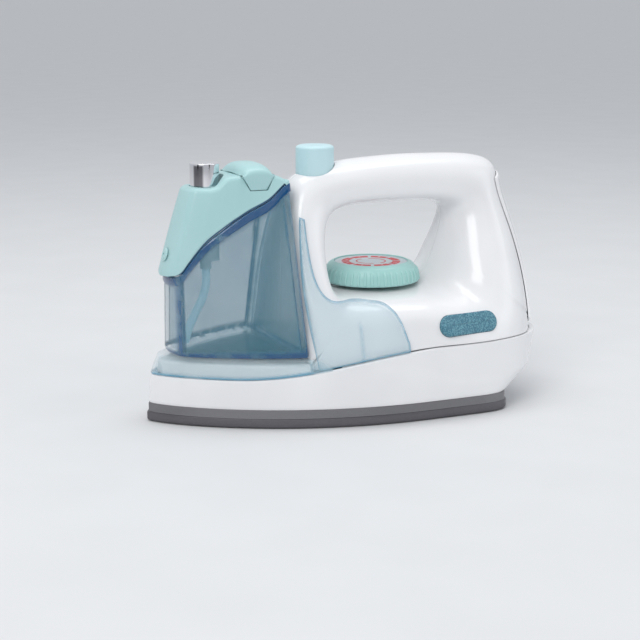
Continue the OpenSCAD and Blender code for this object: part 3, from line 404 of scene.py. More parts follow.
def rounded(points, radius, steps=5):
    """A line of [a, b] points with its inner corners rounded by up to the radius."""
    points = [np.asarray(p, float) for p in points]
    out = [points[0]]
    for before, corner, after in zip(points, points[1:], points[2:]):
        a, b = before - corner, after - corner
        reach = min(radius, np.linalg.norm(a) * 0.45, np.linalg.norm(b) * 0.45)
        p, q = corner + a / np.linalg.norm(a) * reach, corner + b / np.linalg.norm(b) * reach
        out += [(1 - t) ** 2 * p + 2 * t * (1 - t) * corner + t ** 2 * q for t in np.linspace(0, 1, steps)]
    return np.array(out + [points[-1]])


def prism(name, outline, low, high, matrix=None):
    """A straight closed block over an outline of [a, b] points in mm, for cutting."""
    outline = np.asarray(outline, float)
    loop = np.concatenate([outline, outline[:1]])
    centre = np.repeat(outline.mean(0)[None], len(loop), 0)
    rows = [(centre, low), (loop, low), (loop, high), (centre, high)]
    made = shell(name, [np.stack([np.column_stack([p, np.full(len(p), z)]) for p, z in rows])], None)
    if matrix is not None:
        made.data.transform(matrix)
    return made


def disc(radius, centre=(0, 0), steps=64):
    turn = np.arange(steps) / steps * 2 * math.pi
    return np.stack([centre[0] + radius * np.cos(turn), centre[1] + radius * np.sin(turn)], -1)


def place_piece(made, body, slot, *stands_for):
    """Attaches the piece to what carries it and hides the solids that it stands for. slot is not used."""
    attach(made, body)
    if stands_for:
        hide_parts(*stands_for)
    return made


def mix(a, b, t):
    return a + (b - a) * t


def through(xs, ys, x):
    """A smooth curve through points at uneven places."""
    xs, ys, x = np.asarray(xs, float), np.asarray(ys, float), np.asarray(x, float)
    slopes = np.gradient(ys, xs)
    i = np.clip(np.searchsorted(xs, x) - 1, 0, len(xs) - 2)
    h = xs[i + 1] - xs[i]
    t = np.clip((x - xs[i]) / h, 0, 1)
    return (ys[i] * (1 + 2 * t) * (1 - t) ** 2 + slopes[i] * h * t * (1 - t) ** 2
            + ys[i + 1] * t ** 2 * (3 - 2 * t) + slopes[i + 1] * h * t ** 2 * (t - 1))


# %% [markdown]
# ## The plan of the base
# Seen from above the iron is a gothic arch with a squared heel. One function gives half of that outline for
# any width and length. The skirt, the sole and the cradle all use it.

# %% The plan
HALF_LEN, HALF_W, GRIP_TOP = 92.0, 50.0, 111.0
WIDE_X, NOSE_POWER = 0.22 * HALF_LEN, 0.75
SOLE_BACK, PART_GAP = 65.0, 0.4
PART_LOW, PART_HIGH, PART_START = 20.5, 31.5, 0.67
# The skirt's three outlines, from the sole up to the slant's edge and the parting line
SKIRT_W, SKIRT_Z, SKIRT_CORNER = HALF_W - 0.8, (8.0, 17.0), (8, 4.5, 3)
SKIRT_NOSE = (-HALF_LEN + 1.2, -HALF_LEN + 1.6, -HALF_LEN + 2)
SKIRT_BACK = (SOLE_BACK - 0.8, HALF_LEN - 10, HALF_LEN - 1)


def plan_half(width, nose, back, corner, front=90, rear=90):
    """Half of an outline from the nose to the middle of the back, as [x, half width]."""
    t = np.linspace(0, 1, front + 1) ** 2
    a = np.radians(90 * (1 - np.linspace(0, 1, rear + 1)[1:] ** 2.2))
    x = np.concatenate([mix(nose, WIDE_X, t), mix(WIDE_X, back, np.cos(a) ** (2 / corner))])
    w = np.concatenate([width * np.sin(math.pi / 2 * t ** NOSE_POWER), width * np.sin(a) ** (2 / corner)])
    w[-1] = 0
    return np.column_stack([x, w])


def plan_width(x, width, nose, back, corner):
    x = np.asarray(x, float)
    front = width * np.sin(math.pi / 2 * np.clip((x - nose) / (WIDE_X - nose), 0, 1) ** NOSE_POWER)
    rear = width * (1 - np.clip((x - WIDE_X) / (back - WIDE_X), 0, 1) ** corner) ** (1 / corner)
    return np.where(x < WIDE_X, front, rear)


def part_z(x):
    """Height of the parting line between the skirt and what stands on it."""
    t = np.clip(np.asarray(x, float) / HALF_LEN + PART_START, 0, 1)
    return mix(PART_LOW, PART_HIGH, t * t * (3 - 2 * t))


def part_width(x):
    return plan_width(x, SKIRT_W, SKIRT_NOSE[2], SKIRT_BACK[2], SKIRT_CORNER[2])


def both_sides(half):
    """A closed loop from a half outline of [x, half width, z], near side first."""
    near = half * (1, -1, 1)
    return np.concatenate([near, half[-2::-1]])


def ladder(half, rungs=10):
    """A lid over a half outline, as a grid from side to side."""
    t = np.linspace(-1, 1, rungs + 1)
    x, w, z = half.T[..., None]
    return np.stack([np.repeat(x, rungs + 1, 1), w * t, np.repeat(z, rungs + 1, 1)], -1)


def loft(levels, rungs=10):
    """Grids of a closed solid through half outlines, with a lid at each end."""
    return [np.stack([both_sides(h) for h in levels]), ladder(levels[0], rungs), ladder(levels[-1], rungs)]


print("widest place at", WIDE_X, "mm, parting line", part_z(-HALF_LEN), "to", part_z(HALF_LEN), "mm")

# %% [markdown]
# ## White body: a swept section
# The deck, the two posts and the handle are one ring of moulded shell round the finger opening. It could be
# made with subdivision modelling, but a table is easier to check: fifteen sections round the opening, each
# with the opening's edge, the outer edge and a half width, and a form that says how full the section is. A
# spline through the table gives a surface, and a light blur of it takes out the last unevenness, so that
# highlights run clean.

# %% The body's surface
body_table = np.array([
    [0.087, 0.478, 0.087, 0.144, 0.925], [0.272, 0.478, 0.402, 0.144, 0.964],
    [0.424, 0.488, 0.696, 0.135, 0.948], [0.480, 0.540, 0.950, 0.144, 0.840],
    [0.522, 0.622, 0.987, 0.387, 0.640], [0.549, 0.698, 0.950, 0.622, 0.450],
    [0.560, 0.764, 0.865, 0.842, 0.310], [0.511, 0.802, 0.815, 0.976, 0.268],
    [0.391, 0.811, 0.457, 1.000, 0.256], [0.196, 0.811, 0.217, 0.998, 0.256],
    [0.011, 0.805, -0.054, 0.980, 0.256], [-0.092, 0.766, -0.283, 0.914, 0.270],
    [-0.136, 0.649, -0.310, 0.667, 0.420], [-0.141, 0.527, -0.315, 0.414, 0.620],
    [-0.076, 0.481, -0.315, 0.135, 0.796]])
deck = [(0, 0), (0.018, 0.45), (0.06, 0.76), (0.19, 0.925), (0.42, 0.98), (0.65, 1), (0.90, 0.85), (1, 0)]
fillet = [(0, 0), (0.05, 0.42), (0.15, 0.74), (0.29, 0.92), (0.48, 0.985), (0.68, 1), (0.90, 0.85), (1, 0)]
heel = [(0, 0), (0.07, 0.42), (0.22, 0.78), (0.40, 0.96), (0.58, 1), (0.76, 0.90), (0.92, 0.50), (1, 0)]
rear = [(0, 0), (0.06, 0.42), (0.20, 0.78), (0.40, 0.97), (0.62, 1), (0.82, 0.78), (0.955, 0.40), (1, 0)]
bar = [(0, 0), (0.03, 0.50), (0.14, 0.90), (0.36, 1), (0.60, 0.97), (0.82, 0.78), (0.95, 0.42), (1, 0)]
post = [(0, 0), (0.05, 0.50), (0.16, 0.86), (0.40, 1), (0.72, 1), (0.96, 0.94), (1, 0.70), (1, 0)]
toe = [(0, 0), (0.018, 0.45), (0.07, 0.76), (0.20, 0.925), (0.45, 0.98), (0.72, 1), (0.98, 0.94), (1, 0)]
forms = [deck, deck, fillet, heel, rear, rear, rear, bar, bar, bar, bar, bar, post, post, toe]
ROWS, FORM_LAST = len(forms), len(deck) - 1
RING = 2 * FORM_LAST


def section_ring(row, form):
    points = []
    for i in range(RING):
        t, share = form[i if i <= FORM_LAST else RING - i]
        side = -1 if i <= FORM_LAST else 1
        points.append((mix(row[0], row[2], t) * HALF_LEN, side * share * row[4] * HALF_W,
                       mix(row[1], row[3], t) * GRIP_TOP))
    return points


def ring_surface(table, u, v):
    """A smooth surface through a table of points that closes on itself both ways."""
    u, v = np.broadcast_arrays(np.asarray(u, float), np.asarray(v, float))
    i, j = np.floor(u).astype(int), np.floor(v).astype(int)

    def weights(t):
        return [(-t + 2 * t ** 2 - t ** 3) / 2, (2 - 5 * t ** 2 + 3 * t ** 3) / 2,
                (t + 4 * t ** 2 - 3 * t ** 3) / 2, (t ** 3 - t ** 2) / 2]
    wu, wv = weights(u - i), weights(v - j)
    n, m = table.shape[:2]
    return sum((wu[a] * wv[b])[..., None] * table[(i + a - 1) % n, (j + b - 1) % m]
               for a in range(4) for b in range(4))


def blurred(table, axis, width):
    """The table blurred along one axis that closes on itself."""
    n = table.shape[axis]
    waves = np.fft.fftfreq(n) * 2 * math.pi
    keep = np.exp(-0.5 * (waves * width) ** 2).reshape([-1 if a == axis else 1 for a in range(3)])
    return np.real(np.fft.ifft(np.fft.fft(table, axis=axis) * keep, axis=axis))


FINE = 12
rings = np.array([section_ring(r, f) for r, f in zip(body_table, forms)])
dense = ring_surface(rings, np.arange(ROWS * FINE)[:, None] / FINE, np.arange(RING * FINE)[None] / FINE)
dense = blurred(blurred(dense, 0, 0.26 * FINE), 1, 0.20 * FINE)


def body_at(u, v):
    return ring_surface(dense, np.asarray(u) * FINE, np.asarray(v) * FINE)


def body_slopes(u, v, e=0.02):
    along = body_at(u + e, v) - body_at(u - e, v)
    round_ = body_at(u, v + e) - body_at(u, v - e)
    return along / (2 * e), round_ / (2 * e)


def body_out(u, v):
    along, round_ = body_slopes(u, v)
    normal = np.cross(round_, along)
    return normal / np.maximum(np.linalg.norm(normal, axis=-1, keepdims=True), 1e-9)


def body_off(u, v, d):
    return body_at(u, v) + np.asarray(d)[..., None] * body_out(u, v)


def form_at_part(u, off=0.0):
    """How far round each section the shell reaches before it meets the parting line."""
    v = np.linspace(0, FORM_LAST, 281)
    p = body_off(u[:, None], v[None], np.full((len(u), len(v)), off))
    above = p[..., 2] - part_z(p[..., 0]) - PART_GAP
    ends = []
    for line in above:
        below = np.nonzero(line < 0)[0]
        k = below[0] if len(below) else 0
        ends.append(v[k] - (v[1] - v[0]) * line[k] / (line[k] - line[k - 1]) if k else FORM_LAST)
    return np.minimum(np.array(ends), FORM_LAST)


us = np.arange(ROWS * 14) / 14
print("body:", len(us), "sections, widest half width", round(float(-dense[..., 1].min()), 2), "mm")

# %% [markdown]
# ## White body: two half shells
# The toy is moulded in two halves that meet on the middle plane. Each half stops at the parting line above
# the skirt. The edges of a real moulding are slightly rounded, so the first and last rows turn in by a
# fraction of a millimetre: that is what draws the fine seam. Holes for the button, the lens and the screws
# are cut afterwards.

# %% The body's halves
POST_FACE, HALF_GAP, SKIN = -29.7, 0.03, 2.0


def body_half_grids():
    end = form_at_part(us)
    turn_in, apart = np.array([0.32, 0.10, 0.0]), np.array([0.0, 0.14, 0.38])
    first = 1 / np.linalg.norm(body_slopes(us, 0 * us)[1], axis=1)
    last = 1 / np.maximum(np.linalg.norm(body_slopes(us, end)[1], axis=1), 0.5)
    middle = np.linspace(0, 1, 84)[1:-1]
    low = apart[None] * first[:, None]
    high = end[:, None] - apart[None, ::-1] * last[:, None]
    v = np.concatenate([low, mix(low[:, -1:], high[:, :1], middle[None]), high], 1)
    off = np.concatenate([-turn_in, np.zeros(len(middle)), -turn_in[::-1]])
    outer = body_off(us[:, None], v, np.broadcast_to(off, v.shape))
    inner = body_off(us[:, None], v, np.full(v.shape, -SKIN))
    for grid in (outer, inner):
        grid[..., 1] = np.minimum(grid[..., 1], -HALF_GAP)
        grid[..., 0] = np.maximum(grid[..., 0], POST_FACE)
        grid[:, -1, 2] = np.maximum(grid[:, -1, 2], part_z(grid[:, -1, 0]) + PART_GAP)
    outer, inner = (np.concatenate([g, g[:1]]) for g in (outer, inner))
    return [outer, inner, *between_edges(outer, inner)]


STEAM_X, STEAM_D, DIAL_X = -11.96, 17.0, 16.008
WELL_R, BOSS_R, SCREW_R, SEAT_LOW, SEAT_HIGH = 2.95, 4.0, 1.2, 6.0, 8.1
LENS_SEAT, LENS_LEN, LENS_H, LENS_GAP = (1.67, 3.45), 30.0, 9.5, 0.3
lens_place = body_at(*LENS_SEAT)
lens_out = body_out(*LENS_SEAT)
lens_turn = (Matrix.Translation(Vector(lens_place) * MM)
             @ Matrix.Rotation(math.atan2(lens_out[0], -lens_out[1]), 4, "Z")
             @ Matrix.Rotation(math.pi / 2 - math.asin(lens_out[2]), 4, "X"))


def capsule(length, height, steps=24):
    a = np.linspace(-math.pi / 2, math.pi / 2, steps)
    end = np.stack([(length - height) / 2 + height / 2 * np.cos(a), height / 2 * np.sin(a)], -1)
    return np.concatenate([end, -end])


body_left = shell("body_left_shell", body_half_grids(), white_gloss)
cut(body_left, [
    prism("button_hole", disc(STEAM_D / 2 + 0.35, (STEAM_X, 0)), 95, 130),
    prism("lens_hole", capsule(LENS_LEN + LENS_GAP, LENS_H + LENS_GAP), -7, 6, lens_turn)])
body_right = mirrored("body_right_shell", body_left)
body_screw_seats = [(0.30, 3.6), (2.75, 3.55), (7.50, 3.4), (9.60, 3.4)]
screw_places = [body_at(*s) for s in body_screw_seats]


def at_screw(p):
    """Lays a shape that stands on the middle plane along the screw at a place on the body."""
    return Matrix.Translation(Vector((p[0], 0, p[2])) * MM) @ Matrix.Rotation(-math.pi / 2, 4, "X")


cut(body_right, [prism("well", disc(WELL_R, steps=32), SEAT_LOW, 60, at_screw(p)) for p in screw_places])
place_piece(body_left, "housing", "white_gloss", "body_left")
place_piece(body_right, "housing", "white_gloss", "body_right")
for k, p in enumerate(screw_places):
    rim = -p[1] - 1.2
    ring = [(SCREW_R, SEAT_LOW), (BOSS_R, SEAT_LOW), (BOSS_R, rim), (WELL_R, rim), (WELL_R, SEAT_HIGH),
            (SCREW_R, SEAT_HIGH), (SCREW_R, SEAT_LOW)]
    boss = lathe("screw_boss_%d" % (k + 1), ring, white_inner, steps=40)
    boss.data.transform(at_screw(p))
    place_piece(boss, "housing", "white_gloss")
print("body halves:", len(body_left.data.polygons), "and", len(body_right.data.polygons), "faces")

# %% [markdown]
# ## Strip down the back
# A separate strip covers the joint from the heel to the handle's rear corner. It follows the same surface a
# little further out, and its thickness falls to almost nothing at its edges.

# %% The heel strip
STRIP_FIRST, STRIP_LAST, STRIP_LOW, STRIP_TOP = 5, 9, 3.5, 6.5


def heel_strip():
    v = np.linspace(STRIP_FIRST, STRIP_LAST, 73)
    near = np.where(v <= FORM_LAST, v, RING - v)
    search = np.linspace(3.0, 4.6, 161)
    bottom = []
    for f in near:
        p = body_off(search, np.full_like(search, f), np.full_like(search, 0.8))
        low = np.nonzero(p[:, 2] < part_z(p[:, 0]) + PART_GAP + 0.2)[0]
        bottom.append(max(STRIP_LOW, search[low[-1]] + 0.01 if len(low) else STRIP_LOW))
    bottom = np.array(bottom)[None]
    u = mix(bottom, STRIP_TOP, np.linspace(0, 1, 97)[:, None])
    vv = np.broadcast_to(v, u.shape)
    along, round_ = (np.linalg.norm(s, axis=-1) for s in body_slopes(u, vv))
    edge = np.minimum.reduce([(vv - STRIP_FIRST) * round_, (STRIP_LAST - vv) * round_,
                              (STRIP_TOP - u) * along, (u - bottom) * along])
    lift = np.sqrt(1 - (1 - np.clip(edge / 1.2, 0, 1)) ** 2)
    outer, inner = body_off(u, vv, 0.32 + 0.95 * lift), body_off(u, vv, np.full(u.shape, 0.3))
    return [outer, inner, *between_edges(outer, inner), *between_edges(outer, inner, ends=True)]


strip = shell("heel_strip", heel_strip(), white_gloss, weld=FINE_WELD)
place_piece(strip, "housing", "white_gloss", "heel_cover")
print("heel strip:", len(strip.data.polygons), "faces")

# %% [markdown]
# ## Skirt
# The skirt is a loft between three outlines: the sole's, the edge of the slanted heel, and the parting
# line. The slant's edge is softened with a few outlines between. A shallow swelling runs down each side
# like a wave, where the moulding catches the light. A ledge inside gives the groove above the skirt a
# floor.

# %% The skirt
SKIRT_POINTS = 110


def skirt_outline(k, inset):
    """Half outline of the skirt at the sole, 0, at the slant's edge, 1, or at the parting line, 2."""
    nose, back = SKIRT_NOSE[k] + 1.5 * inset, SKIRT_BACK[k] - inset
    half = plan_half(SKIRT_W - inset, nose, back, SKIRT_CORNER[k], SKIRT_POINTS, SKIRT_POINTS)
    z = part_z(half[:, 0]) if k == 2 else np.full(len(half), SKIRT_Z[k])
    return np.column_stack([half, z])


def skirt_levels(inset, rows):
    low, mid, top = (skirt_outline(k, inset) for k in range(3))
    levels = []
    for t in rows:
        p = mix(low, mid, t / 0.5) if t < 0.5 else mix(mid, top, (t - 0.5) / 0.5)
        soft = np.clip(1 - abs(t - 0.5) / 0.12, 0, 1)
        around = mix(mix(low, mid, 0.88), mix(mid, top, 0.12), 0.5)
        levels.append(mix(p, around, 0.5 * soft ** 2))
    return levels


def wave_relief(level):
    """Pushes the side out a little under a falling wave line."""
    x, w, z = level.T
    line = through([-40, -8, 6, 20, 34, 48, 66], [25.5, 24.6, 23.6, 20.2, 16.6, 15.2, 15.0], x)
    under = 1 / (1 + np.exp(-(line - z) / 0.55))
    reach = np.clip((x + 18) / 30, 0, 1) * np.clip((74 - x) / 26, 0, 1)
    return np.column_stack([x, w + 0.42 * under * reach * (w > 20), z])


rows = np.concatenate([np.linspace(0, 0.38, 10), np.linspace(0.40, 0.60, 9), np.linspace(0.62, 1, 12)])
outside = [wave_relief(level) for level in skirt_levels(0, rows)]
lower_in, upper_in = skirt_outline(0, 0.5), skirt_outline(2, 0.35)
outside = [lower_in, mix(outside[0], lower_in, 0.3), *outside[1:-1],
           mix(outside[-1], upper_in, 0.25) - (0, 0, 0.1), upper_in]
inside = skirt_levels(2.0, np.linspace(1, 0, 12))
around = [both_sides(h) for h in [*outside, *inside, outside[0]]]
skirt = shell("base_skirt_shell", [np.stack(around)], white_gloss)
place_piece(skirt, "housing", "white_gloss", "base_skirt")


def shelf_grids(front_x=-20.0):
    """A flat ledge inside the skirt's upper edge, so that the groove above it has a floor."""
    rows = []
    for inset, drop in ((1.5, 0.3), (7.0, 0.3), (7.0, 1.3), (1.5, 1.3), (1.5, 0.3)):
        half = skirt_outline(2, inset) - (0, 0, drop)
        rows.append(both_sides(half[np.searchsorted(skirt_outline(2, 1.5)[:SKIRT_POINTS, 0], front_x):]))
    rows = np.stack(rows)
    return [rows, *bar_ends(rows)]


shelf = shell("skirt_ledge", shelf_grids(), white_inner)
place_piece(shelf, "housing", "white_gloss")
print("skirt:", len(skirt.data.polygons), "faces, ledge:", len(shelf.data.polygons))

# %% [markdown]
# ## Sole pan
# The sole is one moulding with a rounded lower edge, a step between its two bands and a hollow inside. Its
# underside has the battery opening, screw wells and a round of sound holes. What repeats is made with
# Geometry Nodes: one tree puts a copy of a shape on every point of a mesh, and serves for the hole cutters
# here and for the screws later.

# %% Copies on points
def copies_tree(name, inputs, lay):
    """A tree of copies on points. lay gives the points, the shape and the turn from the named inputs."""
    tree = bpy.data.node_groups.new(name, "GeometryNodeTree")
    for label, kind in {**inputs, "Finish": "Material"}.items():
        tree.interface.new_socket(label, in_out="INPUT", socket_type="NodeSocket" + kind)
    tree.interface.new_socket("Copies", in_out="OUTPUT", socket_type="NodeSocketGeometry")
    wire = Wire(tree)
    given = {s.name: Wire(tree, s) for s in tree.nodes.new("NodeGroupInput").outputs if s.name}
    points, shape, turn = lay(wire, given)
    turn = wire.node("FunctionNodeEulerToRotation", None, {0: turn})
    copied = {"Points": points, "Instance": shape, "Rotation": turn}
    laid = wire.node("GeometryNodeInstanceOnPoints", None, copied)
    real = wire.node("GeometryNodeRealizeInstances", None, {0: laid})
    dressed = wire.node("GeometryNodeSetMaterial", None, {"Geometry": real, "Material": given["Finish"]})
    wire.node("NodeGroupOutput", None, {"Copies": dressed})
    return tree


def on_points(wire, given):
    points = wire.node("GeometryNodeMeshToPoints", None, {"Mesh": given["Places"]})
    shape = wire.node("GeometryNodeObjectInfo", None, {"Object": given["Shape"]}, out="Geometry")
    return points, shape, given["Turn"]


def run_tree(made, tree, values, angle=32):
    """Runs a Geometry Nodes tree on an object with the named inputs and keeps the result as a plain mesh."""
    tool = made.modifiers.new("nodes", "NODES")
    tool.node_group = tree
    sockets = [s for s in tree.interface.items_tree if s.item_type == "SOCKET" and s.in_out == "INPUT"]
    names = {s.name: s.identifier for s in sockets}
    for name, value in values.items():
        tool[names[name]] = value
    evaluated(made)
    smooth(made.data, angle)
    return made


def copies(name, shape, places, finish, turn=(0, 0, 0)):
    mesh = bpy.data.meshes.new(name)
    mesh.from_pydata([tuple(c * MM for c in p) for p in places], [], [])
    return run_tree(link(name, mesh), copies_on_points, {"Shape": shape, "Turn": turn, "Finish": finish})


copies_on_points = copies_tree(
    "copies_on_points", {"Places": "Geometry", "Shape": "Object", "Turn": "Vector"}, on_points)
print("tree:", len(copies_on_points.nodes), "nodes")

# %% The sole
def sole_outline(inset, z):
    half = plan_half(HALF_W - inset, -HALF_LEN + 1.5 * inset, SOLE_BACK - inset, 8)
    return np.column_stack([half, np.full(len(half), float(z))])


screw_shares = ((-0.30, 0.68), (0.56, 0.72))
sole_screws = [(s * HALF_LEN, side * w * HALF_W, 0.15) for s, w in screw_shares for side in (-1, 1)]
BAY_X, BAY_LEN, BAY_W, DOOR_SCREW_X, TONGUE_W = 30.35, 57.5, 44.3, -2.9, 7.8
SPEAKER_X = -0.59 * HALF_LEN


def door_outline(grow):
    x0, x1, y = BAY_X - BAY_LEN / 2 - grow, BAY_X + BAY_LEN / 2 + grow, BAY_W / 2 + grow
    tip, t = DOOR_SCREW_X - 4.5 - grow, TONGUE_W / 2 + grow
    return [(tip, -t), (x0, -t), (x0, -y), (x1, -y), (x1, y), (x0, y), (x0, t), (tip, t)]


def screw_well(name, centre=(0, 0)):
    """A cutter for a screw's head and shank from below."""
    profile = [(0, -1), (2.85, -1), (2.85, 1.75), (1.45, 1.75), (1.45, 4), (0, 4)]
    return lathe(name, profile, gunmetal, centre, 40)


GRILLE_R = 7.56
sole_edge = [(0.9, 0), (0.35, 0.25), (0.08, 0.6), (0, 1.1), (0, 3.7), (0.12, 4.05), (0.45, 4.2), (0.5, 4.35),
             (0.5, 7.5), (0.6, 7.85), (0.95, 8.0), (2.7, 8.0), (2.9, 7.8), (2.9, 2.8), (3.2, 2.5)]
sole = shell("sole_pan", loft([sole_outline(i, z) for i, z in sole_edge]), gunmetal)
pin = prism("hole_pin", disc(1.1, steps=20), -2, 4)
sixths = np.arange(6) * math.pi / 3
grille = [(SPEAKER_X + GRILLE_R * math.cos(a), GRILLE_R * math.sin(a), 0) for a in sixths]
holes = copies("grille_holes", pin, [(SPEAKER_X, 0, 0), *grille], gunmetal)
well = screw_well("well_pin")
wells = copies("sole_wells", well, [(x, y, 0) for x, y, _ in sole_screws], gunmetal)
cut(sole, [prism("bay_hole", door_outline(0.25), -1, 4), holes, wells])
for tool in (pin, well):
    bpy.data.objects.remove(tool)
place_piece(sole, "housing", "gunmetal", "soleplate")
print("sole:", len(sole.data.polygons), "faces")

# %% [markdown]
# ## Battery door
# The door fills its opening in the sole. It has softened edges, a well for its screw and a shallow pocket
# with ribs for a thumb. The ribs are copies on a row of points.

# %% The door
door = prism("battery_door_plate", door_outline(0), 0.0, 2.35)
soft = door.modifiers.new("soft", "BEVEL")
soft.width, soft.segments, soft.limit_method = 0.45 * MM, 3, "ANGLE"
evaluated(door)
door.data.materials.append(gunmetal)
pocket = [(44, -8), (56, -8), (56, 8), (44, 8)]
cut(door, [prism("thumb_pocket", pocket, -1, 0.9), screw_well("door_well", (DOOR_SCREW_X, 0))])
rib_bar = prism("rib_bar", rounded([(-0.5, -7.5), (0.5, -7.5), (0.5, 7.5), (-0.5, 7.5)], 0.4), 0.15, 1.0)
ribs = copies("door_ribs", rib_bar, [(46 + 1.6 * k, 0, 0) for k in range(6)], gunmetal)
bpy.data.objects.remove(rib_bar)
place_piece(door, "housing", "gunmetal", "battery_door")
place_piece(ribs, "housing", "gunmetal")
print("door:", len(door.data.polygons), "faces,", len(ribs.data.polygons), "in its ribs")

# %% [markdown]
# ## Screws
# Nine screws hold the toy together. One is turned and gets a cross recess, and the tree for copies puts it
# at every place. Each group faces its own way, so each is one run of the tree.

# %% The screws
def screw_shape(name, head, tall, shank, length):
    """A screw whose head faces -Z and stands on z = 0."""
    edge = [(0, 0.25), (head * 0.6, 0.0), (head, 0.35), (head, tall),
            (shank, tall), (shank, length), (0, length)]
    made = lathe(name, rounded(edge, 0.3, 3), plated_steel, steps=28)
    arm, half = head * 0.62, head * 0.13
    slots = [prism("slot", [(-a, -b), (a, -b), (a, b), (-a, b)], -1, tall * 0.75)
             for a, b in ((arm, half), (half, arm))]
    return cut(made, slots)


long_screw = screw_shape("long_screw", 2.7, 1.6, 1.3, 16.0)
short_screw = screw_shape("short_screw", 2.7, 1.6, 1.3, 9.0)
side_screw = screw_shape("side_screw", 2.8, 2.0, 1.0, 15.5)
fixed = [
    (copies("sole_screw_set", long_screw, sole_screws, plated_steel), "sole_screws"),
    (copies("door_screw_one", short_screw, [(DOOR_SCREW_X, 0, 0.15)], plated_steel), "door_screw"),
    (copies("body_screw_set", side_screw, [(p[0], 8.0, p[2]) for p in screw_places], plated_steel,
            (math.pi / 2, 0, 0)), "body_screws")]
for made, node in fixed:
    place_piece(made, "housing", "plated_steel", node)
for tool in (long_screw, short_screw, side_screw):
    bpy.data.objects.remove(tool)
print("screws:", [len(made.data.polygons) for made, _ in fixed], "faces")

# %% [markdown]
# ## Clear cradle
# The tank stands in a clear cradle: a tray over a white base at the front, and a wing up each side of the
# front post. The tray follows the plan of the base. The wings lie over the body's own surface, half a
# millimetre away, and end in a rounded lobe. Their edges are rounded over the full thickness, and the depth
# value grows towards them.

# %% The cradle's tray and its white base
TANK_BACK, TANK_FRONT, TANK_Z0, TANK_TOP = -30.6, -80.6, 29.5, 101.5
COVER_T, COVER_FLOOR, TRAY_SHOULDER, TRAY_NOSE = 1.8, 29.2, 2.2, -HALF_LEN + 2.5


def tray_grid(inset, xs, round_=1.8):
    w = part_width(xs)
    wb = np.maximum(w - inset, 0.5 * w)
    rise = np.clip((xs + HALF_LEN - 2) / 5, 0, 1)
    wt = np.maximum(wb - TRAY_SHOULDER * rise, 0.5 * wb)
    zb = part_z(xs) + PART_GAP
    zt = np.maximum(mix(zb + 0.5, COVER_FLOOR, rise) - inset, zb + 0.15)
    ribs = []
    for x, a, b, low, top in zip(xs, wb, wt, zb, zt):
        half = rounded([(-a, low), (-b, top), (0, top)], round_, 9)
        side = [half[0] + (half[1] - half[0]) * t for t in np.linspace(0, 1, 7)[:-1]]
        flat = [half[-2] + (half[-1] - half[-2]) * t for t in np.linspace(0, 1, 9)[1:]]
        half = np.array([*side, *half[1:-1], *flat])
        rib = np.concatenate([half, half[-2::-1] * (-1, 1)])
        ribs.append(np.column_stack([np.full(len(rib), x), rib]))
    return np.array(ribs)


def tray_grids(inset, wall, back):
    t = np.linspace(0, 1, 121) ** 1.5
    outer, inner = (tray_grid(i, mix(TRAY_NOSE + 1.5 * i, back, t)) for i in (inset, inset + wall))
    half = outer.shape[1] // 2
    lids = [np.stack([g[0, :half + 1], g[0, :half - 1:-1]], 1) for g in (outer, inner)]
    sill = np.stack([outer[0, [0, -1]], inner[0, [0, -1]]])
    back_edge = between_edges(outer, inner, ends=True)[1]
    return [outer, inner, *between_edges(outer, inner), *lids, sill, back_edge]


base = shell("cradle_base_tray", tray_grids(COVER_T + 0.7, 1.7, TANK_BACK + 0.3), white_inner)
place_piece(base, "housing", "white_gloss", "cradle_base")


def tray_depth(grids):
    values = []
    for g in grids:
        above = g[..., 2] - part_z(g[..., 0]) - PART_GAP
        values.append(np.clip(0.95 - above / 1.3, 0, 1) + 0.06)
    return values


# %% The cradle's wings
wing_rows = np.array([
    [11.5, 4.45, 4.9], [12.0, 4.15, 4.9], [12.5, 3.75, 4.9], [13.0, 3.15, 4.9],
    [13.5, 2.40, 5.1], [14.0, 1.95, 5.6], [14.5, 2.00, 5.4], [14.85, 2.40, 5.4],
    [15.0, 3.00, 5.4], [15.1, 3.65, 5.4], [15.17, 4.40, 5.4]])
WING_GAP, WING_BEND, RIB_X, RIB_TOP = 0.5, 14.6, -9.0, 46.0


def wing_grids():
    start, end = wing_rows[[0, -1], 0]
    u = np.concatenate([np.linspace(start, WING_BEND, 90), np.linspace(WING_BEND, end, 60)[1:]])
    first, last = through(wing_rows[:, 0], wing_rows[:, 1], u), through(wing_rows[:, 0], wing_rows[:, 2], u)
    last = np.minimum(last, form_at_part(u, WING_GAP + COVER_T / 2))
    t = np.concatenate([np.linspace(0, 0.12, 12), np.linspace(0.12, 0.88, 50)[1:-1],
                        np.linspace(0.88, 1, 12)])
    v = mix(first[:, None], last[:, None], t[None])
    uu = np.broadcast_to(u[:, None], v.shape)
    along, round_ = (np.linalg.norm(s, axis=-1) for s in body_slopes(uu, v))
    slant = np.sqrt(1 + (np.gradient(first, u)[:, None] * round_ / along) ** 2)
    to_edge = np.minimum.reduce([(v - first[:, None]) * round_ / slant, (last[:, None] - v) * round_,
                                 (uu - u[0]) * along, (u[-1] - uu) * along])
    full = np.sqrt(np.maximum(1 - (1 - np.clip(to_edge / (COVER_T / 2), 0, 1)) ** 2, 0))
    outer, inner = (body_off(uu, v, WING_GAP + COVER_T / 2 * (1 + s * full)) for s in (1, -1))
    rib = 0.42 * np.exp(-((outer[..., 0] - RIB_X) / 0.8) ** 2) * np.clip((RIB_TOP - outer[..., 2]) / 4, 0, 1)
    depth = np.clip(1.0 - to_edge / 1.15, 0, 1) + 0.04 + rib
    return [outer, inner], [depth, depth]


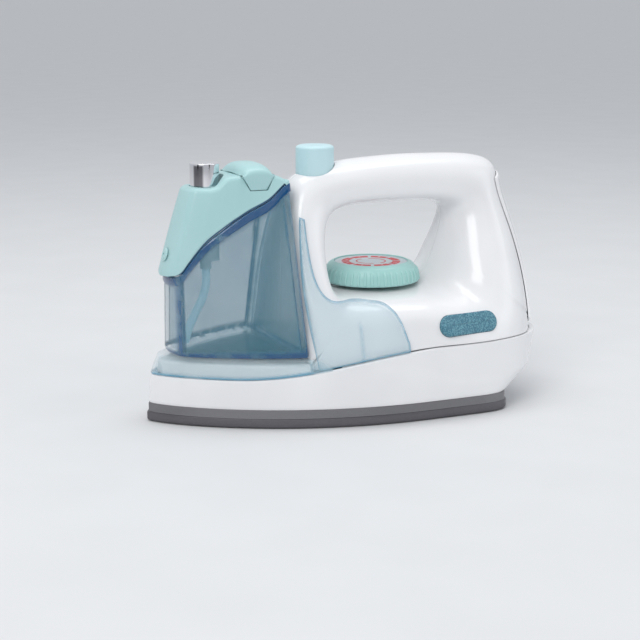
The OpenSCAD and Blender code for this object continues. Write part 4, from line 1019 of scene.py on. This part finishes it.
def strip_grids():
    """The low wall that joins the tray to the near wing and runs out along the parting line."""
    x = np.linspace(TANK_BACK - 0.6, TANK_BACK + 8.0, 24)
    w, low = part_width(x), part_z(x) + PART_GAP
    top = mix(COVER_FLOOR, low + 0.4, np.linspace(0, 1, len(x)) ** 2.5)
    slope = TRAY_SHOULDER * (top - low) / (COVER_FLOOR - low)
    corners = [(w, low), (w - slope, top), (w - slope - COVER_T, top), (w - COVER_T, low), (w, low)]
    ribs = np.stack([np.column_stack([x, -a, z]) for a, z in corners], 1)
    return [ribs, *bar_ends(ribs.swapaxes(0, 1))]


wing, wing_depth = wing_grids()
strips = strip_grids()
near, near_depth = [*wing, *strips], [*wing_depth, *[0.45 * d for d in tray_depth(strips)]]
far = [g * (1, -1, 1) for g in near]
tray = tray_grids(0, COVER_T, TANK_BACK + 0.3)
cover_depth = [*tray_depth(tray), *near_depth, *near_depth]
cover = shell("cradle_cover", [*tray, *near, *far], clear_ice, 40, cover_depth, FINE_WELD)
place_piece(cover, "housing", "clear_ice", "front_cover")
print("cradle:", len(base.data.polygons), "faces in the base,", len(cover.data.polygons), "in the cover")

# %% [markdown]
# ## Blue tank
# The tank's half outline changes with height: wide below, narrow above, with a slightly bulged front, a
# firm front corner and a rounded rear corner. Its upper edge is not level but follows a curve, so each loop
# asks a height function for its own z. The loops run up the outside, over the rim band and down the inside.
# The depth value is high on the rim band, along the bottom and at the corners. The far half of the rear wall
# is given deeper values than the near half: painted shade.

# %% The tank's outline
tank_tops = ([0, 0.05, 0.20, 0.46, 0.73, 1], [0.52, 0.60, 0.74, 0.87, 0.95, 1])
rim_table = np.array([[-0.60, 0.465], [-0.05, 0.466], [0.03, 0.490], [0.10, 0.558], [0.225, 0.666],
                      [0.384, 0.751], [0.60, 0.844], [0.826, 0.922], [0.965, 1.0], [1.2, 1.06]])
TANK_LEN, TANK_H, TANK_WALL, RIM_H = TANK_BACK - TANK_FRONT, TANK_TOP - TANK_Z0, 1.8, 4.0
TANK_HALF_LOW, TANK_HALF_TOP, FRONT_SHARE = 36.5, 14.5, 0.82
tank_shares = np.concatenate([np.linspace(0.03, 0.12, 6), np.linspace(0.16, 0.94, 22), [1.0]])
rear_shares = np.array([0.88, 0.72, 0.5, 0.25, 0.0])


def tank_width(share, x, z):
    wide = TANK_HALF_LOW * part_width(x) / part_width(TANK_BACK)
    return mix(wide, TANK_HALF_TOP * np.interp(share, *tank_tops), (z - TANK_Z0) / TANK_H)


def tank_half(height, inset=0.0, lean=None):
    """Half outline of the tank as [x, half width, z].

    height gives z for x, and lean gives the front's place for z.
    """
    share = np.concatenate([[0, 0], tank_shares, [1] * len(rear_shares)])
    bulge = np.concatenate([[-1.2], np.zeros(len(tank_shares) + 1), -0.3 * (1 - rear_shares)])
    x = mix(TANK_FRONT + inset, TANK_BACK - inset, share) + bulge
    for _ in range(12 if lean else 0):
        front = TANK_FRONT + lean(height(x)) + inset
        x = mix(front, TANK_BACK - inset, share) + bulge
    w = tank_width(share, x, height(x)) - inset
    w[0], w[1] = 0, FRONT_SHARE * w[1]
    w[-len(rear_shares):] *= rear_shares
    flat = rounded(np.column_stack([x, w]), 2.2, 4)
    return np.column_stack([flat, height(flat[:, 0])])


def rim_z(x, inset=0.0):
    share = np.minimum((x - TANK_FRONT) / TANK_LEN, (x - TANK_FRONT - inset) / (TANK_LEN - 2 * inset))
    return TANK_Z0 + TANK_H * through(rim_table[:, 0], rim_table[:, 1], share)


# %% The tank
def tank_levels():
    """Half outlines and how deep each looks, from the underside up the outside and down the inside."""
    def level(z):
        return lambda x: np.full_like(x, z)

    def between(low, drop, t, inset):
        return lambda x: mix(low, rim_z(x, inset) - drop, t)

    out = [(level(TANK_Z0), 0.9, 1.0), (level(TANK_Z0 + 0.25), 0.25, 1.0), (level(TANK_Z0 + 0.9), 0.0, 0.9)]
    out += [(between(TANK_Z0 + 0.9, RIM_H, t, 0), 0.0, 0.75 if t < 0.03 else 0.2)
            for t in (0.02, 0.05, 0.1, 0.2, 0.35, 0.5, 0.65, 0.8, 0.9, 0.96)]
    out += [(between(0, RIM_H, 1, 0), 0.0, 0.55), (between(0, RIM_H - 0.5, 1, 0), -0.55, 0.95),
            (between(0, RIM_H - 0.8, 1, 0), -0.6, 1.0), (between(0, 0.6, 1, 0), -0.6, 1.0),
            (between(0, 0.15, 1, 0), -0.35, 0.8), (between(0, 0.0, 1, 0), 0.1, 0.7),
            (between(0, 0.0, 1, TANK_WALL), TANK_WALL - 0.2, 0.7),
            (between(0, 0.3, 1, TANK_WALL), TANK_WALL, 0.7)]
    out += [(between(TANK_Z0 + TANK_WALL, RIM_H, t, TANK_WALL), TANK_WALL, 0.2)
            for t in (1.0, 0.9, 0.75, 0.6, 0.45, 0.3, 0.15, 0.05, 0.0)]
    return out


levels = tank_levels()
tank_loops = [tank_half(height, inset) for height, inset, _ in levels]
count = len(tank_loops[0])
front_corner = 0.85 * np.exp(-((np.arange(count) - 4.5) / 3.2) ** 2)


def deep_side(loop, deep, window):
    """How deep each point of a half outline looks.

    window says how the rear wall clears towards its middle.
    """
    share = loop[:, 1] / loop[:, 1].max()
    rear = loop[:, 0] > loop[:, 0].max() - 1.0
    clear_here = np.interp(share, [0, 0.25, 0.5, 0.75, 0.92, 1], window)
    solid = np.maximum(deep, front_corner)
    return solid if deep > 0.5 else np.where(rear, clear_here, solid)


# The far half of the rear wall keeps a deeper colour and more alpha than the near half: painted shade, for
# the shaded far wing seen through it. The near half clears so the post shows through.
near_window, far_window_shaded = [-0.5, -0.9, -0.9, -0.3, 0.4, 0.75], [-0.5, -0.1, 0.25, 0.3, 0.45, 1.0]
near_deep, far_deep_shaded = ([deep_side(loop, deep, window) for loop, (_, _, deep) in zip(tank_loops, levels)]
                       for window in (near_window, far_window_shaded))
grids = loft(tank_loops, 12)
depth = [np.stack([np.concatenate([a, b[-2::-1]]) for a, b in zip(near_deep, far_deep_shaded)]),
         np.full((count, 13), -0.3), np.full((count, 13), -0.5)]
tank = shell("blue_tank", grids, clear_blue, 40, depth, FINE_WELD)
place_piece(tank, "tank", "clear_blue", "water_tank")


def seal_levels():
    return [tank_half(lambda x: rim_z(x, i) + z, i) for i, z in (
        (0.15, 0.45), (0.15, 1.0), (TANK_WALL, 1.0), (TANK_WALL, 0.45), (0.15, 0.45))]


gasket = shell("tank_seal", [np.stack([both_sides(h) for h in seal_levels()])], blue_seal)
place_piece(gasket, "tank", "clear_blue", "tank_gasket")
print("tank:", len(tank.data.polygons), "faces, seal:", len(gasket.data.polygons))

# %% [markdown]
# ## Tank head
# The head sits on the tank's curved rim. It uses the same outline, a little larger, with a front face that
# leans back as it rises. Its top steps up from the button's platform to a block that carries the cap. The
# loops go from the hollow inside, round the lower edge and up to a rounded top. Bores and the seat of the
# cap's tabs are cut afterwards.

# %% The head
CAP_X, HEAD_FOOT, HEAD_SOLID = -44.2, 1.05, 98.9
BORE_R, NECK_R, ALCOVE_R, CUT_LOW, CUT_HIGH = 6.7, 5.25, 8.3, 90, 120
TAB_BACK, TAB_OUT, TAB_GAP = 12.1, 30, 0.3
HEAD_Z1 = mix(TANK_Z0, TANK_TOP, 0.465)


def head_lean(z):
    return mix(-3.0, 8.6, (z - HEAD_Z1) / (TANK_TOP - HEAD_Z1))


def head_top(x):
    return through([-100, -70, -63.2, -61.4, -58.4, -56.4, -54.0, -38.5, -36.0, -33.6, -31.6, -30.2, -26],
                   [101.5, 101.5, 101.5, 102.2, 104.9, 105.8, 106, 106, 105.8, 104.9, 103.6, 102.5, 101.6], x)


def head_levels():
    wall, grow, round_ = 1.4, -0.4, 2.0

    def between(t, drop=0.0):
        return lambda x: mix(rim_z(x) + HEAD_FOOT, head_top(x) - drop, t)

    def roof(x):
        return np.minimum(head_top(x) - 1.8, np.maximum(HEAD_SOLID, rim_z(x) + 1.1))

    def within(t):
        return lambda x: mix(rim_z(x) + HEAD_FOOT, roof(x), t)

    out = [(within(t), wall) for t in (1.0, 0.8, 0.6, 0.4, 0.2, 0.05, 0.0)]
    out += [(between(0.0), 0.2), (between(0.004), -0.2)]
    side_shares = (0.03, 0.08, 0.16, 0.26, 0.36, 0.46, 0.56, 0.66, 0.76, 0.86, 0.94)
    out += [(between(t, round_), grow) for t in side_shares]
    out += [(between(1.0, round_ * (1 - math.sin(a))), grow + round_ * (1 - math.cos(a)))
            for a in np.linspace(0, math.pi / 2, 8)]
    return [tank_half(h, i, head_lean) for h, i in out]


def tab_outline(gap):
    return [(CAP_X + a, z) for a, z in ((-3.7 - gap, 100 - gap), (3.7 + gap, 100 - gap), (7.0 + gap, 105.7),
                                         (7.2 + gap, 109), (-7.2 - gap, 109), (-7.0 - gap, 105.7))]


head = shell("tank_head_shell", loft(head_levels(), 14), mint, weld=FINE_WELD)
facing_y = Matrix.Rotation(math.pi / 2, 4, "X")
round_cuts = [prism("bore", disc(r, (x, 0)), low, CUT_HIGH) for r, x, low in (
    (BORE_R, SPRAY_X, CUT_LOW), (NECK_R, CAP_X, CUT_LOW), (ALCOVE_R, SPRAY_X, TANK_TOP))]
tab_cuts = [prism("tab", tab_outline(TAB_GAP), low, high, facing_y)
            for low, high in ((TAB_BACK, TAB_OUT), (-TAB_OUT, -TAB_BACK))]
cut(head, round_cuts + tab_cuts, careful=True)
place_piece(head, "tank", "mint", "tank_head")
bush = [(NECK_R, 95.0), (6.85, 95.0), (6.85, 104.6), (NECK_R, 104.6), (NECK_R, 95.0)]
neck = lathe("filler_neck", rounded(bush, 0.3), mint, (CAP_X, 0), 64)
place_piece(neck, "tank", "mint")
print("head:", len(head.data.polygons), "faces")

# %% [markdown]
# ## Filler cap
# The cap is a saddle: a domed lid with a tab down each side that lies in the head's seat. One path runs
# from the tip of the near tab over the top to the far tab, and each point of the path has its own width.
# The same path a millimetre and a half further in gives the inside.

# %% The cap
cap_path = np.array([[14.05, 100.0, 3.7], [14.15, 102.0, 4.85], [14.2, 104.2, 6.1], [14.2, 105.7, 6.95],
                     [14.1, 106.9, 7.3], [13.6, 108.1, 7.4], [12.2, 109.2, 7.45], [9.5, 110.1, 7.45],
                     [5.0, 110.75, 7.45], [0.0, 110.95, 7.45]])
LID_LOW, TAB_LOW = 106.3, 99.9


def cap_grid(thick):
    """The cap's surface from the tip of the near tab to the tip of the far one, a thickness further in."""
    run = np.concatenate([[0], np.cumsum(np.linalg.norm(np.diff(cap_path[:, :2], axis=0), axis=1))])
    at = np.linspace(0, run[-1], 44)
    y, z, w = (through(run, cap_path[:, k], at) for k in range(3))
    slope = np.gradient(np.column_stack([y, z]), at, axis=0)
    slope /= np.linalg.norm(slope, axis=1, keepdims=True)
    y, z = y + slope[:, 1] * -thick, z + slope[:, 0] * thick
    y[-1] = 0
    lid = np.clip((at - 6.0) / 3.0, 0, 1)[:, None]
    t = np.linspace(-1, 1, 41)[None]
    edge = np.clip((np.abs(t) - 0.80) / 0.20, 0, 1)
    x = CAP_X + (w[:, None] - thick * lid) * t
    fall = lid * (3.4 * np.abs(t) ** 3.2 + 0.9 * edge ** 2)
    lowest = np.where(lid > 0.5, LID_LOW, TAB_LOW)
    zz = np.maximum(z[:, None] - fall * (1 if thick == 0 else 0.7), lowest)
    yy = y[:, None] - (1 - lid) * 0.25 * edge ** 2 - lid * 0.5 * edge ** 2 * (y[:, None] / 14)
    near = np.stack([x, -np.broadcast_to(yy, x.shape), zz], -1)
    return np.concatenate([near, near[-2::-1] * (1, -1, 1)])


cap_out, cap_in = cap_grid(0.0), cap_grid(1.5)
cap_edges = [*between_edges(cap_out, cap_in), *between_edges(cap_out, cap_in, ends=True)]
cap = shell("cap_saddle", [cap_out, cap_in, *cap_edges], mint, weld=FINE_WELD)
place_piece(cap, "cap", "mint", "filler_cap")
plug_edge = [(0, 101.5), (4.6, 101.5), (4.6, 109.0), (0, 109.0)]
plug = lathe("cap_plug", rounded(plug_edge, 0.5), mint, (CAP_X, 0), 64)
place_piece(plug, "cap", "mint")
print("cap:", len(cap.data.polygons), "faces")

# %% [markdown]
# ## Dial
# The dial is turned, and its grip ribs are copies round the axis: a tree takes one rib at its place, a
# count and a centre, and turns a copy of the rib by its index. The print on the dial is a ring of red
# fields with a plain number in each. The fields are made by the same tree.

# %% Copies round an axis
def round_axis(wire, given):
    points = wire.node("GeometryNodePoints", None, {"Count": given["Count"], "Position": given["Centre"]})
    turn = wire.node("GeometryNodeInputIndex") * (2 * math.pi) / given["Count"]
    return points, given["Start"], wire.node("ShaderNodeCombineXYZ", None, {"Z": turn})


copies_round_axis = copies_tree(
    "copies_round_axis", {"Start": "Geometry", "Count": "Int", "Centre": "Vector"}, round_axis)
DIAL_Z0, LABEL_Z, NUMBERS = 54.36, 62.86, 8


def round_copies(made, count, finish, z=0.0):
    centre = (DIAL_X * MM, 0, z * MM)
    return run_tree(made, copies_round_axis, {"Count": count, "Centre": centre, "Finish": finish})


print("tree:", len(copies_round_axis.nodes), "nodes")

# %% The dial and its ribs
dial_side = rounded([(20.9, 0.0), (21.9, 0.15), (21.9, 1.0), (21.1, 5.0), (19.3, 8.0), (16.95, 9.0)], 2.2, 7)
dial_edge = np.concatenate([[(3.1, 0.0)], dial_side, [(16.75, 8.85), (16.7, 8.0), (3.1, 8.0), (3.1, 0.0)]])
dial = lathe("dial_knob", dial_edge + (0, DIAL_Z0), mint_dial, (DIAL_X, 0), 180)
place_piece(dial, "dial", "mint", "temperature_dial")
GRIP_SINK, GRIP_TALL, GRIP_HALF_W = 0.12, 0.6, 0.72


def rib_grids():
    """One grip rib up the side and over the shoulder, at angle zero about the dial's axis."""
    r, z = rounded([(21.9, 0.5), (21.9, 1.0), (21.1, 5.0), (19.9, 7.0)], 2.2, 6).T
    out = np.gradient(np.column_stack([r, z]), axis=0)
    out = np.column_stack([out[:, 1], -out[:, 0]]) / np.linalg.norm(out, axis=1)[:, None]
    tall = GRIP_TALL * np.sqrt(np.clip(np.minimum(np.arange(len(r)), np.arange(len(r))[::-1]) / 2.5, 0, 1))
    a = np.linspace(0, math.pi, 7)
    top = -GRIP_SINK + (tall + GRIP_SINK * (tall > 0))[:, None] * np.sin(a) ** 0.8
    across = GRIP_HALF_W * np.cos(a) * np.ones((len(r), 1))
    return [np.stack([r[:, None] + out[:, :1] * rise, across, z[:, None] + out[:, 1:] * rise], -1)
            for rise in (top, np.full_like(top, -GRIP_SINK))]


ribs = shell("dial_ribs", rib_grids(), mint_dial)
round_copies(ribs, 44, mint_dial, DIAL_Z0)
place_piece(ribs, "dial", "mint")
print("dial:", len(dial.data.polygons), "faces,", len(ribs.data.polygons), "in its ribs")

# %% The dial's print
plate = [(0, LABEL_Z - 0.5), (16.6, LABEL_Z - 0.5), (16.6, LABEL_Z - 0.05), (0, LABEL_Z - 0.05)]
label = lathe("dial_plate", rounded(plate, 0.15), print_grey, (DIAL_X, 0), 96)
place_piece(label, "dial", "label_white", "dial_label")


def field(name, inner, outer, degrees, count, low=LABEL_Z - 0.1, high=LABEL_Z - 0.01):
    """A ring of printed fields: one block over an arc, copied round the dial."""
    a = np.radians(np.linspace(-degrees / 2, degrees / 2, 15))
    arc = np.stack([np.cos(a), np.sin(a)], -1)
    rows = np.array([np.column_stack([arc * r, np.full(len(a), z)]) for r, z in (
        (inner, low), (outer, low), (outer, high), (inner, high), (inner, low))])
    made = shell(name, [rows, *bar_ends(rows)], print_red, weld=FINE_WELD)
    return place_piece(round_copies(made, count, print_red), "dial", "label_white")


red = field("dial_fields", 9.9, 13.4, 38, NUMBERS)
field("dial_ring", 6.3, 6.9, 150, 2)
numbers = []
for k in range(NUMBERS):
    name = "dial_number_%d" % (k + 1)
    text = bpy.data.curves.new(name, "FONT")
    text.body, text.size, text.extrude = str(k + 1), 2.3 * MM, 0.02 * MM
    text.align_x, text.align_y = "CENTER", "CENTER"
    made = link(name, text)
    bpy.context.view_layer.update()
    mesh = bpy.data.meshes.new_from_object(made.evaluated_get(bpy.context.evaluated_depsgraph_get()))
    bpy.data.objects.remove(made)
    turn = Matrix.Rotation(-math.radians(360 / NUMBERS * k + 90), 4, "Z")
    mesh.transform(Matrix.Translation(Vector((DIAL_X, 0, LABEL_Z)) * MM) @ turn
                   @ Matrix.Translation(Vector((0, 11.65, -0.01)) * MM))
    numbers.append(place_piece(link(name, mesh, print_white), "dial", "label_white"))
print("print:", len(red.data.polygons), "faces in the fields,", len(numbers), "numbers")

# %% [markdown]
# ## Buttons
# Both buttons are turned shapes. The steam button has a flange that stops it under the handle's skin and a
# softly rounded top. The spray button is chromed, with a slightly hollow top.

# %% The buttons
steam_edge = [(0, 95.52), (8.95, 95.52), (8.95, 97.0), (8.5, 97.05), (8.5, 116.0), (7.2, 116.85), (0, 117.0)]
steam = lathe("steam_knob", rounded(steam_edge, 1.3, 7), pale_mint, (STEAM_X, 0), 128)
place_piece(steam, "steam", "pale_mint", "steam_button")
spray_edge = [(0, 96.56), (6.35, 96.56), (6.35, 111.3), (5.2, 111.25), (0, 110.9)]
spray = lathe("spray_knob", rounded(spray_edge, 0.9, 7), chrome, (SPRAY_X, 0), 128)
place_piece(spray, "spray", "chrome", "spray_button")
print("buttons:", len(steam.data.polygons), "and", len(spray.data.polygons), "faces")

# %% [markdown]
# ## Side lenses
# Each lens is a capsule with a rounded, domed face, set in the shoulder along the surface's own direction.
# Loops of shrinking capsules give the dome. The right one is the mirror of the left.

# %% The lenses
def lens_loops():
    loops = []
    for inset, z in ((1.5, -4.0), (0, -4.0), (0, -0.15), (0.1, 0.1), (0.35, 0.28), (0.8, 0.38), (1.6, 0.44),
                     (3.0, 0.5), (4.7, 0.52)):
        outline = capsule(LENS_LEN - 2 * inset, LENS_H - 2 * inset)
        loops.append(np.column_stack([np.concatenate([outline, outline[:1]]), np.full(len(outline) + 1, z)]))
    under = loops[0].copy()
    under[:, 1] *= 0.001
    return [np.stack([under, *loops])]


lens = shell("lens_near", lens_loops(), teal_lens, 40)
lens.data.transform(lens_turn)
place_piece(lens, "housing", "teal_lens", "lens_left")
lens_far = mirrored("lens_far", lens)
place_piece(lens_far, "housing", "teal_lens", "lens_right")
print("lenses:", len(lens.data.polygons), "faces each")

# %% [markdown]
# ## Dip tube
# The tube runs from the pump down to the tank's front corner. A circle swept along a smooth path makes it.

# %% The dip tube
def tube_grid(path, radius, steps=16):
    path = np.asarray(path, float)
    run = np.linspace(0, 1, len(path))
    t = np.linspace(0, 1, 49)
    line = np.column_stack([through(run, path[:, k], t) for k in range(3)])
    ahead = np.gradient(line, axis=0)
    ahead /= np.linalg.norm(ahead, axis=1, keepdims=True)
    side = np.tile([0.0, 1.0, 0.0], (len(line), 1))
    up = np.cross(ahead, side)
    a = np.linspace(0, 2 * math.pi, steps + 1)
    a[-1] = 0
    out = np.cos(a)[None, :, None] * side[:, None] + np.sin(a)[None, :, None] * up[:, None]
    return line[:, None] + radius * out


tube_path = [(SPRAY_X, 0, 65.2), (SPRAY_X, 0, 58.8), (-65.6, 0, 52.4), (-68.95, 0, 46.06), (-72.0, 0, 39.6),
             (-74.0, 0, 33.3)]
tube_walls = [tube_grid(tube_path, radius) for radius in (1.8, 1.1)]
tube_grids = [*tube_walls, *between_edges(*tube_walls, ends=True)]
tube_depth = [np.full(g.shape[:2], value) for g, value in zip(tube_grids, (0.4, 0.4, 0.9, 0.9))]
tube = shell("dip_hose", tube_grids, clear_tube, 40, tube_depth, FINE_WELD)
place_piece(tube, "tank", "clear_ice", "dip_tube")
print("tube:", len(tube.data.polygons), "faces")

# %% [markdown]
# ## Pieces kept from the frame
# The pieces inside the toy are plain blocks, discs and springs already, so their solids are kept. Each gets
# a finish.

# %% Finishes for the kept solids
kept = {
    "leds": clear_tube, "circuit_board": board_green, "speaker": black_plastic, "battery_box": black_plastic,
    "battery_cells": cell_wrap, "battery_contacts": plated_steel, "battery_springs": plated_steel,
    "button_guide": white_inner, "push_switch": black_plastic, "button_spring": plated_steel,
    "dial_spindle": white_inner, "dial_screw": plated_steel, "spray_nozzle": mint, "pump_cylinder": soft_seal,
    "pump_spring": plated_steel, "pump_piston": soft_seal, "cap_seal": soft_seal}
for node, finish in kept.items():
    mesh = frame["nodes"][node].data
    mesh.materials.clear()
    mesh.materials.append(finish)
print("kept solids:", len(kept))

# %% [markdown]
# ## Floor and light
# A pale floor without a horizon, one large soft light from the upper left and front, a weaker one from the
# right and a long one from above that draws the highlight along the handle. The world gives the rest. Two
# dark cards outside the picture give the chrome something to mirror.

# %% Floor and light
floor_mesh = bpy.data.meshes.new("floor")
floor_mesh.from_pydata([(-40, -40, 0), (40, -40, 0), (40, 40, 0), (-40, 40, 0)], [], [(0, 1, 2, 3)])
floor_finish = moulded("floor", (0.70, 0.705, 0.715), (0.715, 0.72, 0.73), 0.75, ripple=0.0)
floor = link("floor", floor_mesh, floor_finish)
floor.location.z = -0.0002
world = bpy.data.worlds.new("world")
bpy.context.scene.world = world
world.use_nodes = True
sky = world.node_tree.nodes["Background"].inputs
sky["Color"].default_value, sky["Strength"].default_value = (0.93, 0.96, 1.0, 1), 0.68


def soft_light(name, place, target, size, watts, colour):
    lamp = bpy.data.lights.new(name, "AREA")
    lamp.shape, lamp.size, lamp.size_y, lamp.energy, lamp.color = "RECTANGLE", *size, watts, colour
    made = bpy.data.objects.new(name, lamp)
    bpy.context.scene.collection.objects.link(made)
    made.location = place
    made.rotation_euler = (Vector(target) - Vector(place)).to_track_quat("-Z", "Y").to_euler()
    return made


soft_light("key", (-0.75, -0.75, 0.95), (0, 0, 0.05), (0.7, 0.7), 6.2, (1.0, 0.99, 0.97))
soft_light("top", (0.05, 0.15, 0.95), (0.0, 0.0, 0.06), (0.9, 0.35), 3.2, (1.0, 1.0, 1.0))
soft_light("fill", (0.85, -0.65, 0.45), (0, 0, 0.06), (0.5, 0.6), 0.9, (0.95, 0.98, 1.0))
card_finish = moulded("dark_card", (0.02, 0.02, 0.022), (0.03, 0.03, 0.032), 0.8, ripple=0.0)
for name, place, turn in (("card_left", (-1.15, -0.42, 0.45), 70), ("card_right", (0.42, -1.25, 0.45), 160)):
    half = Vector((math.cos(math.radians(turn)), math.sin(math.radians(turn)), 0)) * 0.16
    mesh = bpy.data.meshes.new(name)
    ends = ((-1, -0.4), (1, -0.4), (1, 0.4), (-1, 0.4))
    corners = [Vector(place) + half * a + Vector((0, 0, b)) for a, b in ends]
    mesh.from_pydata([tuple(c) for c in corners], [], [(0, 1, 2, 3)])
    link(name, mesh, card_finish)
bpy.context.scene.view_settings.view_transform = "Standard"
print("lights:", len(bpy.data.lights))
